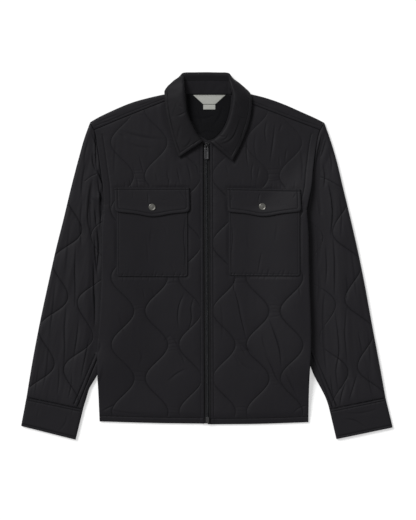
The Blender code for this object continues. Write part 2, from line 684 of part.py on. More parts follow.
def make_front(side):
    """One front, its patch pocket, flap and snap."""
    sign = SIDES[side]
    centre = [(zip_x(y) + sign * ZIP_HALF_GAP, y)
              for y in np.linspace(NECK_BOTTOM_Y, table_at(HEM, side, 0), 30)]
    hem = [(sign * x, table_at(HEM, side, x))
           for x in np.linspace(abs(centre[-1][0]), side_at(side, -355), 20)]
    hem[0] = centre[-1]
    low = side_line(side)
    hem[-1] = tuple(low[0])
    arm = arm_line(side, YOKE_END_Y - GAP / 2)
    neck = neckline(side)
    seam_end = (neck[-1][0], table_at(YOKE_SEAM, side, abs(neck[-1][0])))
    seam = [(sign * x, table_at(YOKE_SEAM, side, x) - GAP / 2)
            for x in np.linspace(abs(arm[-1][0]), abs(seam_end[0]), 20)]
    seam[0] = arm[-1]
    neck = [point for point in neck if point[1] < seam_end[1] - 8] + [seam[-1]]
    neck = [(centre[0][0], NECK_BOTTOM_Y)] + neck[1:]
    outline = chain(resample(centre, 20), resample(hem, 16), low, arm,
                    resample(seam, 16), resample(neck[::-1], 12))
    pocket = pocket_outline(side, POCKET[side], 16)
    flap = pocket_outline(side, FLAP[side], 16)
    rows = inset_rows(low, outline, (1.2, 3.4, 7.2, 12.0))
    bands = [(sign * (side_at(side, y) - 15), y) for y in np.arange(100, 268, 15)]
    bands += [(zip_x(y) + sign * (ZIP_HALF_GAP + inset), y)
              for inset in (PLACKET, PLACKET + 1.6) for y in np.arange(-350, 232, 20)]
    bands += [(sign * x, table_at(HEM, side, x) + 12) for x in np.arange(22, 222, 16)]
    quilt = []
    for offset in (0.0, -6.0, 6.0, -17.0, 17.0):
        for k in range(FRONT_LINES):
            for y in np.arange(-343, 320, 14.5):
                near, far = front_line(k, y - 1), front_line(k, y + 1)
                slope = (far - near) / 2
                length = math.hypot(1, slope)
                from_zip = front_line(k, y) + offset / length
                quilt.append((zip_x(y) + sign * from_zip, y - offset * slope / length))
    grid = [(sign * x, y) for y in np.arange(-340, 330, 26) for x in np.arange(20, 235, 26)]

    def free(points):
        return [p for p in points
                if edge_distance(pocket, *p) > 5 and edge_distance(flap, *p) > 5]

    inner = thin_out(rows, outline, 1.9)
    inner += thin_out(lift_rows(side), outline, 6.5, inner, (pocket, flap))
    inner += thin_out(free(bands), outline, 5.0, inner)
    inner += thin_out(free(quilt), outline, 5.6, inner)
    inner += thin_out(grid, outline, 13.0, inner, (pocket, flap))
    net = triangulate(outline, inner, (pocket, flap))
    plain = triangulate(outline, thin_out(lift_rows(side), outline, 5.0))
    top = front_top(side)
    slab(f"front_{side}", outline, net, plain, top, front_inside, "shell")

    centre_x = sign * (POCKET[side][0].x + POCKET[side][4].x) / 2

    def crown(x, y):
        across = max(0.0, 1 - (abs(x - centre_x) / 78) ** 2)
        along = max(0.0, 1 - (abs(y - 48) / 95) ** 2)
        return PATCH_CROWN * across * along

    def patch_top(x, y):
        return top(x, y) + GAP + PATCH_WALL + crown(x, y)

    def flap_top(x, y):
        return patch_top(x, y) + GAP + FLAP_WALL

    patch_net = part_of(net, pocket)
    slab(f"pocket_{side}", pocket, patch_net, patch_net, patch_top,
         lambda x, y: top(x, y) + GAP, "shell")
    flap_net = part_of(net, flap)
    slab(f"flap_{side}", flap, flap_net, flap_net, flap_top,
         lambda x, y: patch_top(x, y) + GAP, "shell")
    spot = SNAP[side]
    make_snap(side, (sign * spot.x, spot.y, flap_top(sign * spot.x, spot.y) + 0.5))


def make_snap(side, place):
    """Domed metal cap of a press stud, turned about its own axis."""
    profile = [(0.0, 0.0), (SNAP_RADIUS - 0.6, 0.0), (SNAP_RADIUS, 0.5), (SNAP_RADIUS, 1.5),
               (SNAP_RADIUS - SNAP_RIM, SNAP_HEIGHT), (SNAP_RADIUS - 2.2, SNAP_HEIGHT - 0.7),
               (0.0, SNAP_HEIGHT - 0.4)]
    turns = 24
    points = [(0.0, 0.0, profile[0][1])]
    for radius, height in profile[1:-1]:
        for k in range(turns):
            angle = 2 * math.pi * k / turns
            points.append((radius * math.cos(angle), radius * math.sin(angle), height))
    points.append((0.0, 0.0, profile[-1][1]))
    faces = []
    rings = len(profile) - 2
    for k in range(turns):
        after = (k + 1) % turns
        faces.append((0, 1 + after, 1 + k))
        for ring in range(rings - 1):
            a, b = 1 + ring * turns, 1 + (ring + 1) * turns
            faces.append((a + k, a + after, b + after, b + k))
        last = 1 + (rings - 1) * turns
        faces.append((last + k, last + after, len(points) - 1))
    placed = [(x + place[0], y + place[1], z + place[2]) for x, y, z in points]
    add_object(f"snap_{side}", placed, faces, "metal", place)


def make_yoke():
    """Yoke: under layer across the back, folded over each shoulder to its seam."""
    shoulder = [SHOULDER_POINT[0], 238, 220, 196, 170, 143, 116, 92, 75]
    near = NECK_SIDE_X
    stations = [(-x, "right") for x in [*shoulder, near["right"] + 0.8]]
    stations += [(x, "neck") for x in (-near["right"], -36, -18, 0, 18, 36, near["left"])]
    stations += [(x, "left") for x in [near["left"] + 0.8, *reversed(shoulder)]]
    points = []
    for nominal, kind in stations:
        side = side_of(nominal)
        out = abs(nominal)
        fold = table_at(SHOULDER, side, out) if kind != "neck" else BACK_NECK_Y
        crown = 0.6

        def place_x(y):
            reach = (side_at(side, min(y, SHOULDER_POINT[1])) - GAP) / SHOULDER_POINT[0]
            return out * (1 + (reach - 1) * (out / SHOULDER_POINT[0]) ** 3)

        under = [YOKE_BACK_Y + (y - YOKE_BACK_Y) * (fold - YOKE_BACK_Y)
                 / (SHOULDER_POINT[1] - YOKE_BACK_Y) for y in [YOKE_BACK_Y, *ARM_HIGH_YS[:-1]]]
        section = [(y, 0.0) for y in under] + [(fold - 3.2, 1.0), (fold - 0.7, 3.0)]
        if kind == "neck":
            section += [(fold, 3.6), (fold - 0.2, 4.2), (fold - 0.6, 4.6), (fold - 1.1, 4.85),
                        (fold - 1.7, 4.95), (fold - 2.3, BACK_WALL), (fold - 2.9, BACK_WALL),
                        (fold - 3.5, BACK_WALL), (fold - 4.5, BACK_WALL)]
        else:
            seam = table_at(YOKE_SEAM, side, out)
            for _ in range(4):
                seam = table_at(YOKE_SEAM, side, place_x(seam)) + GAP / 2
            depth = fold - seam
            section += [(fold, 5.2), (fold - 0.8, 7.6), (fold - min(3.6, 0.25 * depth), 9.4),
                        (fold - min(9, 0.45 * depth), SEAM_Z + crown),
                        (seam + min(6, 0.3 * depth), SEAM_Z + crown),
                        (seam, SEAM_Z), (seam, BACK_WALL + SLIT),
                        (fold - 4.5, BACK_WALL + SLIT), (fold - 4.5, BACK_WALL)]
        section += [(y, BACK_WALL) for y in reversed(under)]
        points += [(math.copysign(place_x(y), nominal), y, z) for y, z in section]
    size = len(points) // len(stations)
    faces = [tuple(range(size)), tuple(range(len(points) - size, len(points)))]
    for s in range(len(stations) - 1):
        for k in range(size):
            j = (k + 1) % size
            a, b = s * size, (s + 1) * size
            faces.append((a + k, a + j, b + j, b + k))
    add_object("yoke", points, faces, "shell")


def sleeve_frame(side):
    """Unit vectors along a sleeve towards its cuff and across it towards the body."""
    sign = SIDES[side]
    along = np.array([sign * SLEEVE_SLOPE[side], -1.0])
    along /= np.linalg.norm(along)
    across = np.array([sign * along[1], -along[0] * sign])
    return along, across


def sleeve_puff(side, x, y):
    """Rise of the quilting on a sleeve."""
    along, across = sleeve_frame(side)
    s, c = float(np.dot((x, y), along)), float(np.dot((x, y), across))
    swing = wave(s, SLEEVE_PHASE, SLEEVE_PERIOD)
    slope = QUILT_WAVE * 2 * math.pi / SLEEVE_PERIOD * math.sqrt(max(0.0, 1 - swing**2))
    lines = [(c - line.across - line.sign * QUILT_WAVE * swing) / math.hypot(1, slope)
             for line in SLEEVE_LINES]
    seam_y = CUFF[side]["seam_out"].y + (CUFF[side]["seam_in"].y - CUFF[side]["seam_out"].y) * (
        (CUFF[side]["seam_out"].x - abs(x)) / (CUFF[side]["seam_out"].x - CUFF[side]["seam_in"].x))
    lines.append(max(0.0, y - seam_y))
    lines.append(abs(x) - side_at(side, max(99.0, y)) if y > 99 else 50.0)
    return rise(lines)


def make_sleeve(side):
    """One sleeve: a flattened quilted tube, its slit open at the armhole and the cuff."""
    sign = SIDES[side]
    corner = CUFF[side]
    start = [(sign * (side_at(side, y) + GAP / 2), y)
             for y in [SHOULDER_POINT[1], *reversed(ARM_LOW_YS + ARM_HIGH_YS)]]
    inner = [start[-1]] + [(sign * table_at(SLEEVE_INNER, side, y), y)
                           for y in np.linspace(92, -327.4, 60)]
    out_point = (sign * corner["seam_out"].x, corner["seam_out"].y + GAP)
    in_point = (sign * corner["seam_in"].x, corner["seam_in"].y + GAP)
    outer = ([out_point] + [(sign * table_at(SLEEVE_OUTER, side, y), y)
                            for y in np.linspace(-300, 281, 80)] + [start[0]])
    inner[-1] = in_point
    lines = [start, resample(inner, 16), resample([in_point, out_point], 10),
             resample(outer, 16)]
    outline = chain(*lines)
    def fold_distance(x, y):
        out = table_at(SLEEVE_OUTER, side, y) - abs(x)
        into = abs(x) - table_at(SLEEVE_INNER, side, y) + max(0.0, y - 90)
        return max(0.0, min(out, into))

    def top(x, y):
        start, width = VALLEY[side]
        pressed = smoothstep((abs(x) - side_at(side, min(y, 99)) - start) / width)
        pressed = max(pressed, smoothstep((y - 101) / 26))
        full = SLEEVE_SEAM_Z + SLEEVE_PUFF * sleeve_puff(side, x, y) * pressed
        here = SLEEVE_TUCK_Z + (full - SLEEVE_TUCK_Z) * pressed
        return here - bullnose(fold_distance(x, y), SLEEVE_ROLL, here - SLEEVE_SPLIT - 0.9)

    def bottom(x, y):
        return bullnose(fold_distance(x, y), SLEEVE_ROLL * 0.6, SLEEVE_SPLIT - 0.9)

    along, across = sleeve_frame(side)
    rows = [point for line in (lines[1], lines[3])
            for point in inset_rows(line, outline, (1.2, 3.2, 6.2, 10.5))]
    tuck = [(sign * (side_at(side, y) + out), y) for out in (5, 14, 24) for y in np.arange(-262, 96, 18)]
    quilt = []
    for offset in (0.0, -6.0, 6.0, -17.0, 17.0):
        for line in SLEEVE_LINES:
            for s in np.arange(-250, 400, 14.7):
                swing = line.sign * QUILT_WAVE * wave(s, SLEEVE_PHASE, SLEEVE_PERIOD)
                slope = -line.sign * QUILT_WAVE * 2 * math.pi / SLEEVE_PERIOD * math.sin(
                    2 * math.pi * (s - SLEEVE_PHASE) / SLEEVE_PERIOD)
                length = math.hypot(1, slope)
                c = line.across + swing + offset / length
                place = along * (s - offset * slope / length) + across * c
                quilt.append((float(place[0]), float(place[1])))
    grid = [(sign * x, y) for y in np.arange(-320, 270, 26) for x in np.arange(205, 380, 26)]
    inside = thin_out(rows, outline, 1.8)
    inside += thin_out(tuck, outline, 6.0, inside)
    inside += thin_out(quilt, outline, 5.6, inside)
    inside += thin_out(grid, outline, 13.0, inside)
    flat_tube(f"sleeve_{side}", lines, SLIT_INSET, inside, top, SLEEVE_SPLIT, SLIT, "shell", bottom)


def make_cuff(side):
    """One cuff: a plain flattened band, open at both ends."""
    sign = SIDES[side]
    seam_out, end_out, end_in, seam_in = (
        np.array([sign * CUFF[side][key].x, CUFF[side][key].y])
        for key in ("seam_out", "end_out", "end_in", "seam_in"))
    lines = [resample([seam_out, seam_in], 12), resample([seam_in, end_in], 12),
             resample([end_in, end_out], 12), resample([end_out, seam_out], 12)]
    outline = chain(*lines)

    def fold_distance(x, y):
        point = np.array([x, y])
        far = []
        for a, b in ((seam_in, end_in), (seam_out, end_out)):
            along = (b - a) / np.linalg.norm(b - a)
            far.append(abs(along[0] * (point - a)[1] - along[1] * (point - a)[0]))
        return min(far)

    def top(x, y):
        return CUFF_Z - bullnose(fold_distance(x, y), CUFF_ROLL * 1.4, CUFF_Z - SLEEVE_SPLIT - 0.9)

    def bottom(x, y):
        return bullnose(fold_distance(x, y), CUFF_ROLL * 0.6, SLEEVE_SPLIT - 0.9)

    inside = []
    for depth in (0.012, 0.035, 0.07, 0.93, 0.965, 0.988):
        for t in np.linspace(0.09, 0.91, 6):
            across = seam_out * (1 - depth) + seam_in * depth
            far = end_out * (1 - depth) + end_in * depth
            inside.append(tuple(across * (1 - t) + far * t))
    for depth in (0.3, 0.5, 0.7):
        for t in (0.3, 0.7):
            across = seam_out * (1 - depth) + seam_in * depth
            far = end_out * (1 - depth) + end_in * depth
            inside.append(tuple(across * (1 - t) + far * t))
    flat_tube(f"cuff_{side}", lines, SLIT_INSET, thin_out(inside, outline, 1.2), top,
              SLEEVE_SPLIT, CUFF_SLIT, "shell", bottom)


def collar_rows():
    """Collar stations round the neck, right front end to left front end."""
    right = [(-1.0, row, z) for row, z in zip(COLLAR["right"], COLLAR_Z)]
    left = [(1.0, row, z) for row, z in zip(COLLAR["left"], COLLAR_Z)]
    return right + [(-1.0, CENTRE_BACK, CENTRE_BACK_Z)] + left[::-1]


def make_collar():
    """Stand round the neck, and the leaf that rolls over it."""
    stand_rows, leaf_rows = [], []
    for sign, row, z in collar_rows():
        roll = np.array([sign * row.roll_x, row.roll_y])
        edge = np.array([sign * row.edge_x, row.edge_y])
        back = z.foot_y < 0
        out = (edge - roll) / np.linalg.norm(edge - roll)
        if back:
            foot = roll + np.array([sign * 2.0 * (z.foot_y > -34), z.foot_y])
            seam = roll + np.array([0.0, -18.0 if z.foot_y < -34 else 0.42 * z.foot_y])
            rolled = roll + np.array([0.0, -4.4 if z.foot_y < -34 else -1.0])
        else:
            foot, seam, rolled = roll + out * 0.9, roll - out * 0.6, roll + out * 0.6
        middle = rolled + (edge - rolled) * z.middle + row.bulge * np.array([sign * 0.71, 0.70])
        if z.middle == 0.0:
            middle = roll + np.array([0.0, -2.0])
        stand = [(*foot, z.foot), (*((foot + seam) / 2 + 0.3 * out), (z.foot + z.seam) / 2),
                 (*seam, z.seam)]
        upward = np.array((*rolled, z.roll)) - np.array((*seam, z.seam))
        start = np.array((*seam, z.seam)) + upward / np.linalg.norm(upward) * SEAM_CLEAR
        leaf = [start, (*rolled, z.roll), (*middle, z.mid), (*edge, z.edge)]
        stand_rows.append(np.array(stand))
        leaf_rows.append(np.array(leaf))
    grid_shell("collar_stand", dense(stand_rows, 34, 4), STAND_WALL, "collar")
    grid_shell("collar_leaf", dense(leaf_rows, 44, 10), LEAF_WALL, "collar")


def dense(rows, along_count, across_count):
    """A smooth grid through a few hand-set rows of points."""
    rows = np.array(rows, float)
    across = np.array([smooth_line(row, across_count) for row in rows])
    return np.array([smooth_line(across[:, k], along_count) for k in range(across_count)]).transpose(1, 0, 2)


def smooth_line(points, count):
    """Smooth curve through points in space, with even steps of its chord length."""
    points = np.asarray(points, float)
    keys = np.concatenate([[0.0], np.cumsum(np.linalg.norm(np.diff(points, axis=0), axis=1) ** 0.5)])
    where = np.linspace(0, keys[-1], 60)
    fine = np.array([[spline(keys, points[:, axis], t) for axis in range(3)] for t in where])
    lengths = np.concatenate([[0.0], np.cumsum(np.linalg.norm(np.diff(fine, axis=0), axis=1))])
    even = np.linspace(0, lengths[-1], count)
    return np.column_stack([np.interp(even, lengths, fine[:, axis]) for axis in range(3)])


def make_neck():
    """Lining of the back neck, the label and the size tab."""
    outline = [(zip_x(250) + 1.0, 250.0)]
    for row in COLLAR["left"][1:6]:
        outline.append((row.roll_x - 5.5, row.roll_y + (2 if row.roll_y < 300 else 0)))
    outline += [(44.0, 347.6), (-42.0, 347.6)]
    for row in reversed(COLLAR["right"][1:6]):
        outline.append((-(row.roll_x - 5.5), row.roll_y + (2 if row.roll_y < 300 else 0)))
    low = BACK_WALL + GAP
    plain_slab("neck_lining", outline, low, low + LINING_WALL, "lining")
    high = low + LINING_WALL + GAP
    plain_slab("neck_label", [tuple(spot) for spot in LABEL], high, high + LABEL_WALL, "label")
    plain_slab("size_tab", [tuple(spot) for spot in TAB], high, high + LABEL_WALL, "label")


def block(name, low, high, kind, origin=(0.0, 0.0, 0.0)):
    """A box between two corners."""
    (x0, y0, z0), (x1, y1, z1) = low, high
    points = [(x, y, z) for z in (z0, z1) for y in (y0, y1) for x in (x0, x1)]
    faces = [(0, 1, 3, 2), (4, 5, 7, 6), (0, 1, 5, 4), (2, 3, 7, 6), (0, 2, 6, 4), (1, 3, 7, 5)]
    return add_object(name, points, faces, kind, origin)


def make_zip():
    """Tapes, chain, bottom box and slider of the front zip."""
    hem_y = {side: table_at(HEM, side, 0) for side in SIDES}
    for side, sign in SIDES.items():
        inner, outer = 0.25, ZIP_HALF_GAP - GAP
        line = [(zip_x(NECK_BOTTOM_Y) + sign * inner, NECK_BOTTOM_Y),
                (zip_x(hem_y[side]) + sign * inner, hem_y[side] + 0.6),
                (zip_x(hem_y[side]) + sign * outer, hem_y[side] + 0.6),
                (zip_x(NECK_BOTTOM_Y) + sign * outer, NECK_BOTTOM_Y)]
        low = BACK_WALL + SLIT
        plain_slab(f"zip_tape_{side}", line, low + 0.2, low + 0.2 + TAPE_WALL, "zip")
    chain_bottom = BOX_Y + BOX_SIZE[1] / 2 + GAP
    line = [(zip_x(CHAIN_TOP_Y) - CHAIN_HALF, CHAIN_TOP_Y), (zip_x(chain_bottom) - CHAIN_HALF, chain_bottom),
            (zip_x(chain_bottom) + CHAIN_HALF, chain_bottom), (zip_x(CHAIN_TOP_Y) + CHAIN_HALF, CHAIN_TOP_Y)]
    plain_slab("zip_chain", line, *CHAIN_Z, "zip metal")
    x = zip_x(BOX_Y)
    block("zip_box", (x - BOX_SIZE[0] / 2, BOX_Y - BOX_SIZE[1] / 2, CHAIN_Z[0]),
          (x + BOX_SIZE[0] / 2, BOX_Y + BOX_SIZE[1] / 2, CHAIN_Z[0] + BOX_SIZE[2]), "metal")


def join(body, shapes):
    """Boolean union or difference of overlapping shapes, kept live on the body."""
    for shape, operation in shapes:
        shape.hide_render = True
        shape.display_type = "WIRE"
        change = body.modifiers.new(shape.name, "BOOLEAN")
        change.object = shape
        change.operation = operation
        change.solver = "EXACT"


def pin(name, centre, radius, length, axis):
    """A cylinder about X or Z with its middle at a point."""
    turns = 20
    points = []
    for end in (-0.5, 0.5):
        for k in range(turns):
            angle = 2 * math.pi * k / turns
            a, b = radius * math.cos(angle), radius * math.sin(angle)
            offset = (end * length, a, b) if axis == "X" else (a, b, end * length)
            points.append(tuple(c + o for c, o in zip(centre, offset)))
    faces = [tuple(range(turns)), tuple(range(turns, 2 * turns))]
    faces += [(k, (k + 1) % turns, turns + (k + 1) % turns, turns + k) for k in range(turns)]
    return add_object(name, points, faces, "zip metal", PIVOT)


def make_slider():
    """Slider body with its bridge, and the pull tab that hangs on the bridge."""
    px, py, pz = PIVOT
    width, length, height = SLIDER_SIZE
    body = block("zip_slider", (px - width / 2, SLIDER_Y - length / 2 + 1, SLIDER_Z),
                 (px + width / 2, SLIDER_Y + length / 2 + 1, SLIDER_Z + height), "zip metal", PIVOT)
    bevel = body.modifiers.new("bevel", "BEVEL")
    bevel.width = 0.9 * MM
    bevel.segments = 2
    floor = SLIDER_Z + height
    arch = block("bridge", (px - BRIDGE_WIDTH / 2, py - BRIDGE_REACH, floor - 0.8),
                 (px + BRIDGE_WIDTH / 2, py + BRIDGE_REACH, floor + BRIDGE_RISE), "zip metal", PIVOT)
    tunnel = block("bridge_tunnel", (px - BRIDGE_WIDTH, py - TUNNEL_REACH, floor + 0.2),
                   (px + BRIDGE_WIDTH, py + TUNNEL_REACH, floor + BRIDGE_RISE - BRIDGE_WALL),
                   "zip metal", PIVOT)
    join(body, [(arch, "UNION"), (tunnel, "DIFFERENCE")])

    tab_top = py - TAB_START
    tab = block("zip_pull", (px - PULL_WIDTH / 2, py - PULL_LENGTH, pz - PULL_WALL / 2),
                (px + PULL_WIDTH / 2, tab_top, pz + PULL_WALL / 2), "zip metal", PIVOT)
    arms = [block(f"arm_{name}", (px + sign * ARM_OUT - ARM_WIDTH / 2, tab_top - 1.0, pz - PULL_WALL / 2),
                  (px + sign * ARM_OUT + ARM_WIDTH / 2, py + 0.4, pz + PULL_WALL / 2), "zip metal", PIVOT)
            for name, sign in SIDES.items()]
    bar = pin("bar", PIVOT, PIN_RADIUS, 2 * ARM_OUT + ARM_WIDTH - 0.2, "X")
    hole = pin("hole", (px, tab_top - 3.8, pz), PULL_HOLE, 2 * PULL_WALL, "Z")
    join(tab, [(arms[0], "UNION"), (arms[1], "UNION"), (bar, "UNION"), (hole, "DIFFERENCE")])


def main():
    """Clear the scene and make every piece."""
    for thing in list(bpy.data.objects):
        bpy.data.objects.remove(thing)
    make_back()
    make_yoke()
    for side in SIDES:
        make_front(side)
        make_sleeve(side)
        make_cuff(side)
    make_collar()
    make_neck()
    make_zip()
    make_slider()


main()
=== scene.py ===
"""Quilted jacket, zipped up and laid flat on its back: cloth, sewing, zip and press studs.

Sizes are in millimetres in the jacket's own frame: X towards the wearer's left, Y towards the
collar and Z up from the floor. Right and left are the wearer's. Meshes are made in metres.
"""

import logging
import math
from collections.abc import Callable, Iterable, Sequence
from dataclasses import dataclass, field
from enum import Enum

import bpy
import numpy as np
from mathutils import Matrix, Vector
from mathutils.geometry import delaunay_2d_cdt
from mathutils.kdtree import KDTree


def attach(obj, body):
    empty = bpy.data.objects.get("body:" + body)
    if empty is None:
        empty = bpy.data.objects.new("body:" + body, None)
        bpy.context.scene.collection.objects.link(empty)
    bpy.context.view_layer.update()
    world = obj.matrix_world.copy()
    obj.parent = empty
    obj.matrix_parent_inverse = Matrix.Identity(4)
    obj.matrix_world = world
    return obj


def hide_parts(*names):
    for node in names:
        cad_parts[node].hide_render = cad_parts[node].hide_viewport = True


log = logging.getLogger("jacket")
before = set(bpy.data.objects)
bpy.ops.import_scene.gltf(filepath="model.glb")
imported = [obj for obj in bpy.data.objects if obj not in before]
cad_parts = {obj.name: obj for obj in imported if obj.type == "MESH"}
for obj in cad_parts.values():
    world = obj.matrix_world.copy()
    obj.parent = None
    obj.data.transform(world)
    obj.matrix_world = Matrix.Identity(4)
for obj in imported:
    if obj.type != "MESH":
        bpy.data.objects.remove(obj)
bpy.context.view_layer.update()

MM = 0.001
Material, Object, NodeSocket = bpy.types.Material, bpy.types.Object, bpy.types.NodeSocket
Array = np.ndarray
Height = Callable[[Array, Array], Array]
Point = tuple[float, float]
Triple = tuple[float, float, float]


# ---------------------------------------------------------------- sides and tables
class Side(Enum):
    """The wearer's right or left."""

    RIGHT = "right"
    LEFT = "left"

    @property
    def sign(self) -> float:
        """Which way X runs on this side."""
        return -1.0 if self is Side.RIGHT else 1.0

    def place(self, rows: Iterable[Point]) -> Array:
        """Points of this side, from their distances out from the centre and their Y."""
        return np.array([(self.sign * x, y) for x, y in rows])

    def run(self, out: Array, ys: Array) -> Array:
        """A line in plan from its distances out from the centre and its Y."""
        return np.column_stack([self.sign * out, ys])


class Body(Enum):
    """The two bodies that move against each other."""

    JACKET = "jacket"
    PULL = "pull"


@dataclass(frozen=True)
class Profile:
    """A smooth line: places, and what it measures there on the right and on the left."""

    rows: tuple[Triple, ...]

    def read(self, side: Side, at: Array | float) -> Array:
        """The line's measure at each place.

        Args:
            side: Which column to read.
            at: Places along the line.

        Returns:
            The measures, held beyond the ends.
        """
        table = np.asarray(self.rows, float)
        return spline(table[:, 0], table[:, 1 if side is Side.RIGHT else 2], at)


BODY_SIDE = Profile((
    (-360, 231.2, 218.4), (-330, 232.2, 218.6), (-300, 233.4, 219.0), (-255, 235.5, 220.4),
    (-210, 236.6, 223.2), (-140, 231.6, 223.2), (-60, 227.6, 220.2), (0, 227.0, 219.0),
    (66, 226.0, 217.2), (99, 222.5, 213.9)))
ARMHOLE = Profile((
    (99, 222.5, 213.9), (122, 222.6, 218.8), (150, 224.0, 224.6), (180, 228.1, 227.4),
    (214, 232.9, 231.7), (247, 237.9, 236.6), (270, 242.1, 242.6), (287.6, 251.6, 252.2)))
SLEEVE_OUTER = Profile((
    (287.6, 251.6, 252.2), (256, 263.2, 263.6), (209, 276.6, 278.0), (146, 293.0, 293.2),
    (82, 308.3, 308.6), (13, 325.6, 324.4), (-50, 339.8, 337.4), (-145, 360.2, 354.8),
    (-235, 377.2, 371.8), (-304, 388.5, 384.2)))
SLEEVE_INNER = Profile((
    (99, 222.5, 213.9), (60, 217.5, 209.0), (0, 214.0, 205.5), (-80, 213.5, 205.0),
    (-160, 217.0, 208.5), (-215, 224.5, 216.0), (-256, 236.3, 230.0), (-288, 254.4, 247.0),
    (-303, 258.8, 254.6), (-328, 266.6, 263.4)))
SHOULDER = Profile((
    (57, 354.2, 354.2), (93, 347.7, 348.6), (125, 340.6, 340.8), (160, 330.8, 328.8),
    (205, 312.3, 309.2), (240, 295.0, 293.2), (251.5, 288.2, 287.2)))
YOKE_SEAM = Profile(((50, 348.0, 345.0), (95, 331.0, 327.6), (165, 303.5, 300.6),
                     (242.8, 271.3, 271.3)))
HEM = Profile(((0, -361.0, -362.6), (115, -359.6, -361.4), (230, -356.2, -357.4)))
ARM_HIGH_YS = (218.4, 231.8, 245.3, 258.7, 271.3, 278.4, 283.6)
SHOULDER_POINT = (251.5, 287.6)
UNDERARM_Y = 99.0
ARM_LOW_YS = tuple(UNDERARM_Y + 13.25 * k for k in range(9))
SAME_SPOT = 0.05
CHUNK = 6000
OUTLINE_STEP = 1.6
STITCH_STEP = 1.2
GRID_SNAP = 0.35
SEWN_DOWN = 99.0


# ---------------------------------------------------------------- curves
def spline(keys: Array, values: Array, at: Array | float) -> Array:
    """Reads a cubic through keys and values.

    Args:
        keys: Places, rising or falling.
        values: What is measured at each.
        at: Places to read, held beyond the ends.

    Returns:
        One value for each place.
    """
    keys, values = np.asarray(keys, float), np.asarray(values, float)
    if keys[0] > keys[-1]:
        keys, values = keys[::-1], values[::-1]
    slopes = np.gradient(values, keys)
    at = np.clip(np.asarray(at, float), keys[0], keys[-1])
    i = np.clip(np.searchsorted(keys, at, side="right") - 1, 0, len(keys) - 2)
    step = keys[i + 1] - keys[i]
    t = (at - keys[i]) / step
    return ((2 * t**3 - 3 * t**2 + 1) * values[i] + (t**3 - 2 * t**2 + t) * step * slopes[i]
            + (-2 * t**3 + 3 * t**2) * values[i + 1] + (t**3 - t**2) * step * slopes[i + 1])


def smoothstep(value: Array | float) -> Array:
    """0 to 1 with soft ends."""
    value = np.clip(value, 0.0, 1.0)
    return value * value * (3.0 - 2.0 * value)


def bullnose(distance: Array, width: float, height: Array | float) -> Array:
    """How far a rounded edge has fallen away at each distance in from it."""
    t = 1.0 - np.clip(distance / width, 0.0, 1.0)
    return height * (1.0 - np.sqrt(np.maximum(0.0, 1.0 - t**2.2)))


def unit(vectors: Array) -> Array:
    """Vectors made one long."""
    return vectors / np.maximum(np.linalg.norm(vectors, axis=-1, keepdims=True), 1e-9)


def left_of(vectors: Array) -> Array:
    """Vectors in plan turned a quarter to the left."""
    return np.column_stack([-vectors[:, 1], vectors[:, 0]])


def places_along(line: Array) -> Array:
    """How far along a line each of its points lies."""
    return np.concatenate([[0.0], np.cumsum(np.linalg.norm(np.diff(line, axis=0), axis=1))])


def read_points(where: Array, keys: Array, points: Array) -> Array:
    """Points read at places between points at their keys."""
    return np.column_stack([np.interp(where, keys, column) for column in points.T])


def resample(points: Sequence, step: float) -> Array:
    """The same line with even steps, its two ends kept."""
    points = np.asarray(points, float)
    keys = places_along(points)
    return read_points(np.linspace(0.0, keys[-1], max(1, int(round(keys[-1] / step))) + 1), keys, points)


def smooth_line(points: Sequence, count: int) -> Array:
    """A smooth curve through a few points, with even steps."""
    points = np.asarray(points, float)
    chords = np.linalg.norm(np.diff(points, axis=0), axis=1) ** 0.5
    keys = np.concatenate([[0.0], np.cumsum(chords)])
    where = np.linspace(0, keys[-1], 90)
    fine = np.column_stack([spline(keys, column, where) for column in points.T])
    keys = places_along(fine)
    return read_points(np.linspace(0, keys[-1], count), keys, fine)


def turned_area(loop: Array) -> float:
    """Area inside a closed loop, positive if it turns left."""
    after = np.roll(loop, -1, axis=0)
    return float((loop[:, 0] * after[:, 1] - loop[:, 1] * after[:, 0]).sum()) / 2


def plan_area(outline: Array) -> float:
    """Area inside an outline, in square metres."""
    return abs(turned_area(outline)) / 1e6


def chain(lines: Iterable[Array]) -> Array:
    """Lines end to end as one closed outline, shared ends kept once, turning left."""
    out: list[Array] = []
    for point in (point for line in lines for point in np.asarray(line, float)):
        if not out or math.dist(out[-1], point) > SAME_SPOT:
            out.append(point)
    if math.dist(out[0], out[-1]) <= SAME_SPOT:
        out.pop()
    loop = np.array(out)
    return loop if turned_area(loop) > 0 else loop[::-1].copy()


def straight_runs(corners: Sequence) -> list[Array]:
    """The straight runs of a closed outline, corner to corner."""
    spots = [np.asarray(corner, float) for corner in corners]
    return [np.array([a, b]) for a, b in zip(spots, spots[1:] + spots[:1])]


def normals_of(line: Array) -> Array:
    """Unit vectors to the left of a line at each of its points."""
    return left_of(unit(np.gradient(line, axis=0)))


def offset_line(points: Sequence, amount: float) -> Array:
    """A line of straight runs moved sideways, to its left, with its corners kept sharp."""
    points = np.asarray(points, float)
    left = unit(left_of(np.diff(points, axis=0)))
    first, last = np.vstack([left[:1], left]), np.vstack([left, left[-1:]])
    both = unit(first + last)
    return points + both * (amount / np.maximum((both * first).sum(1), 0.3))[:, None]


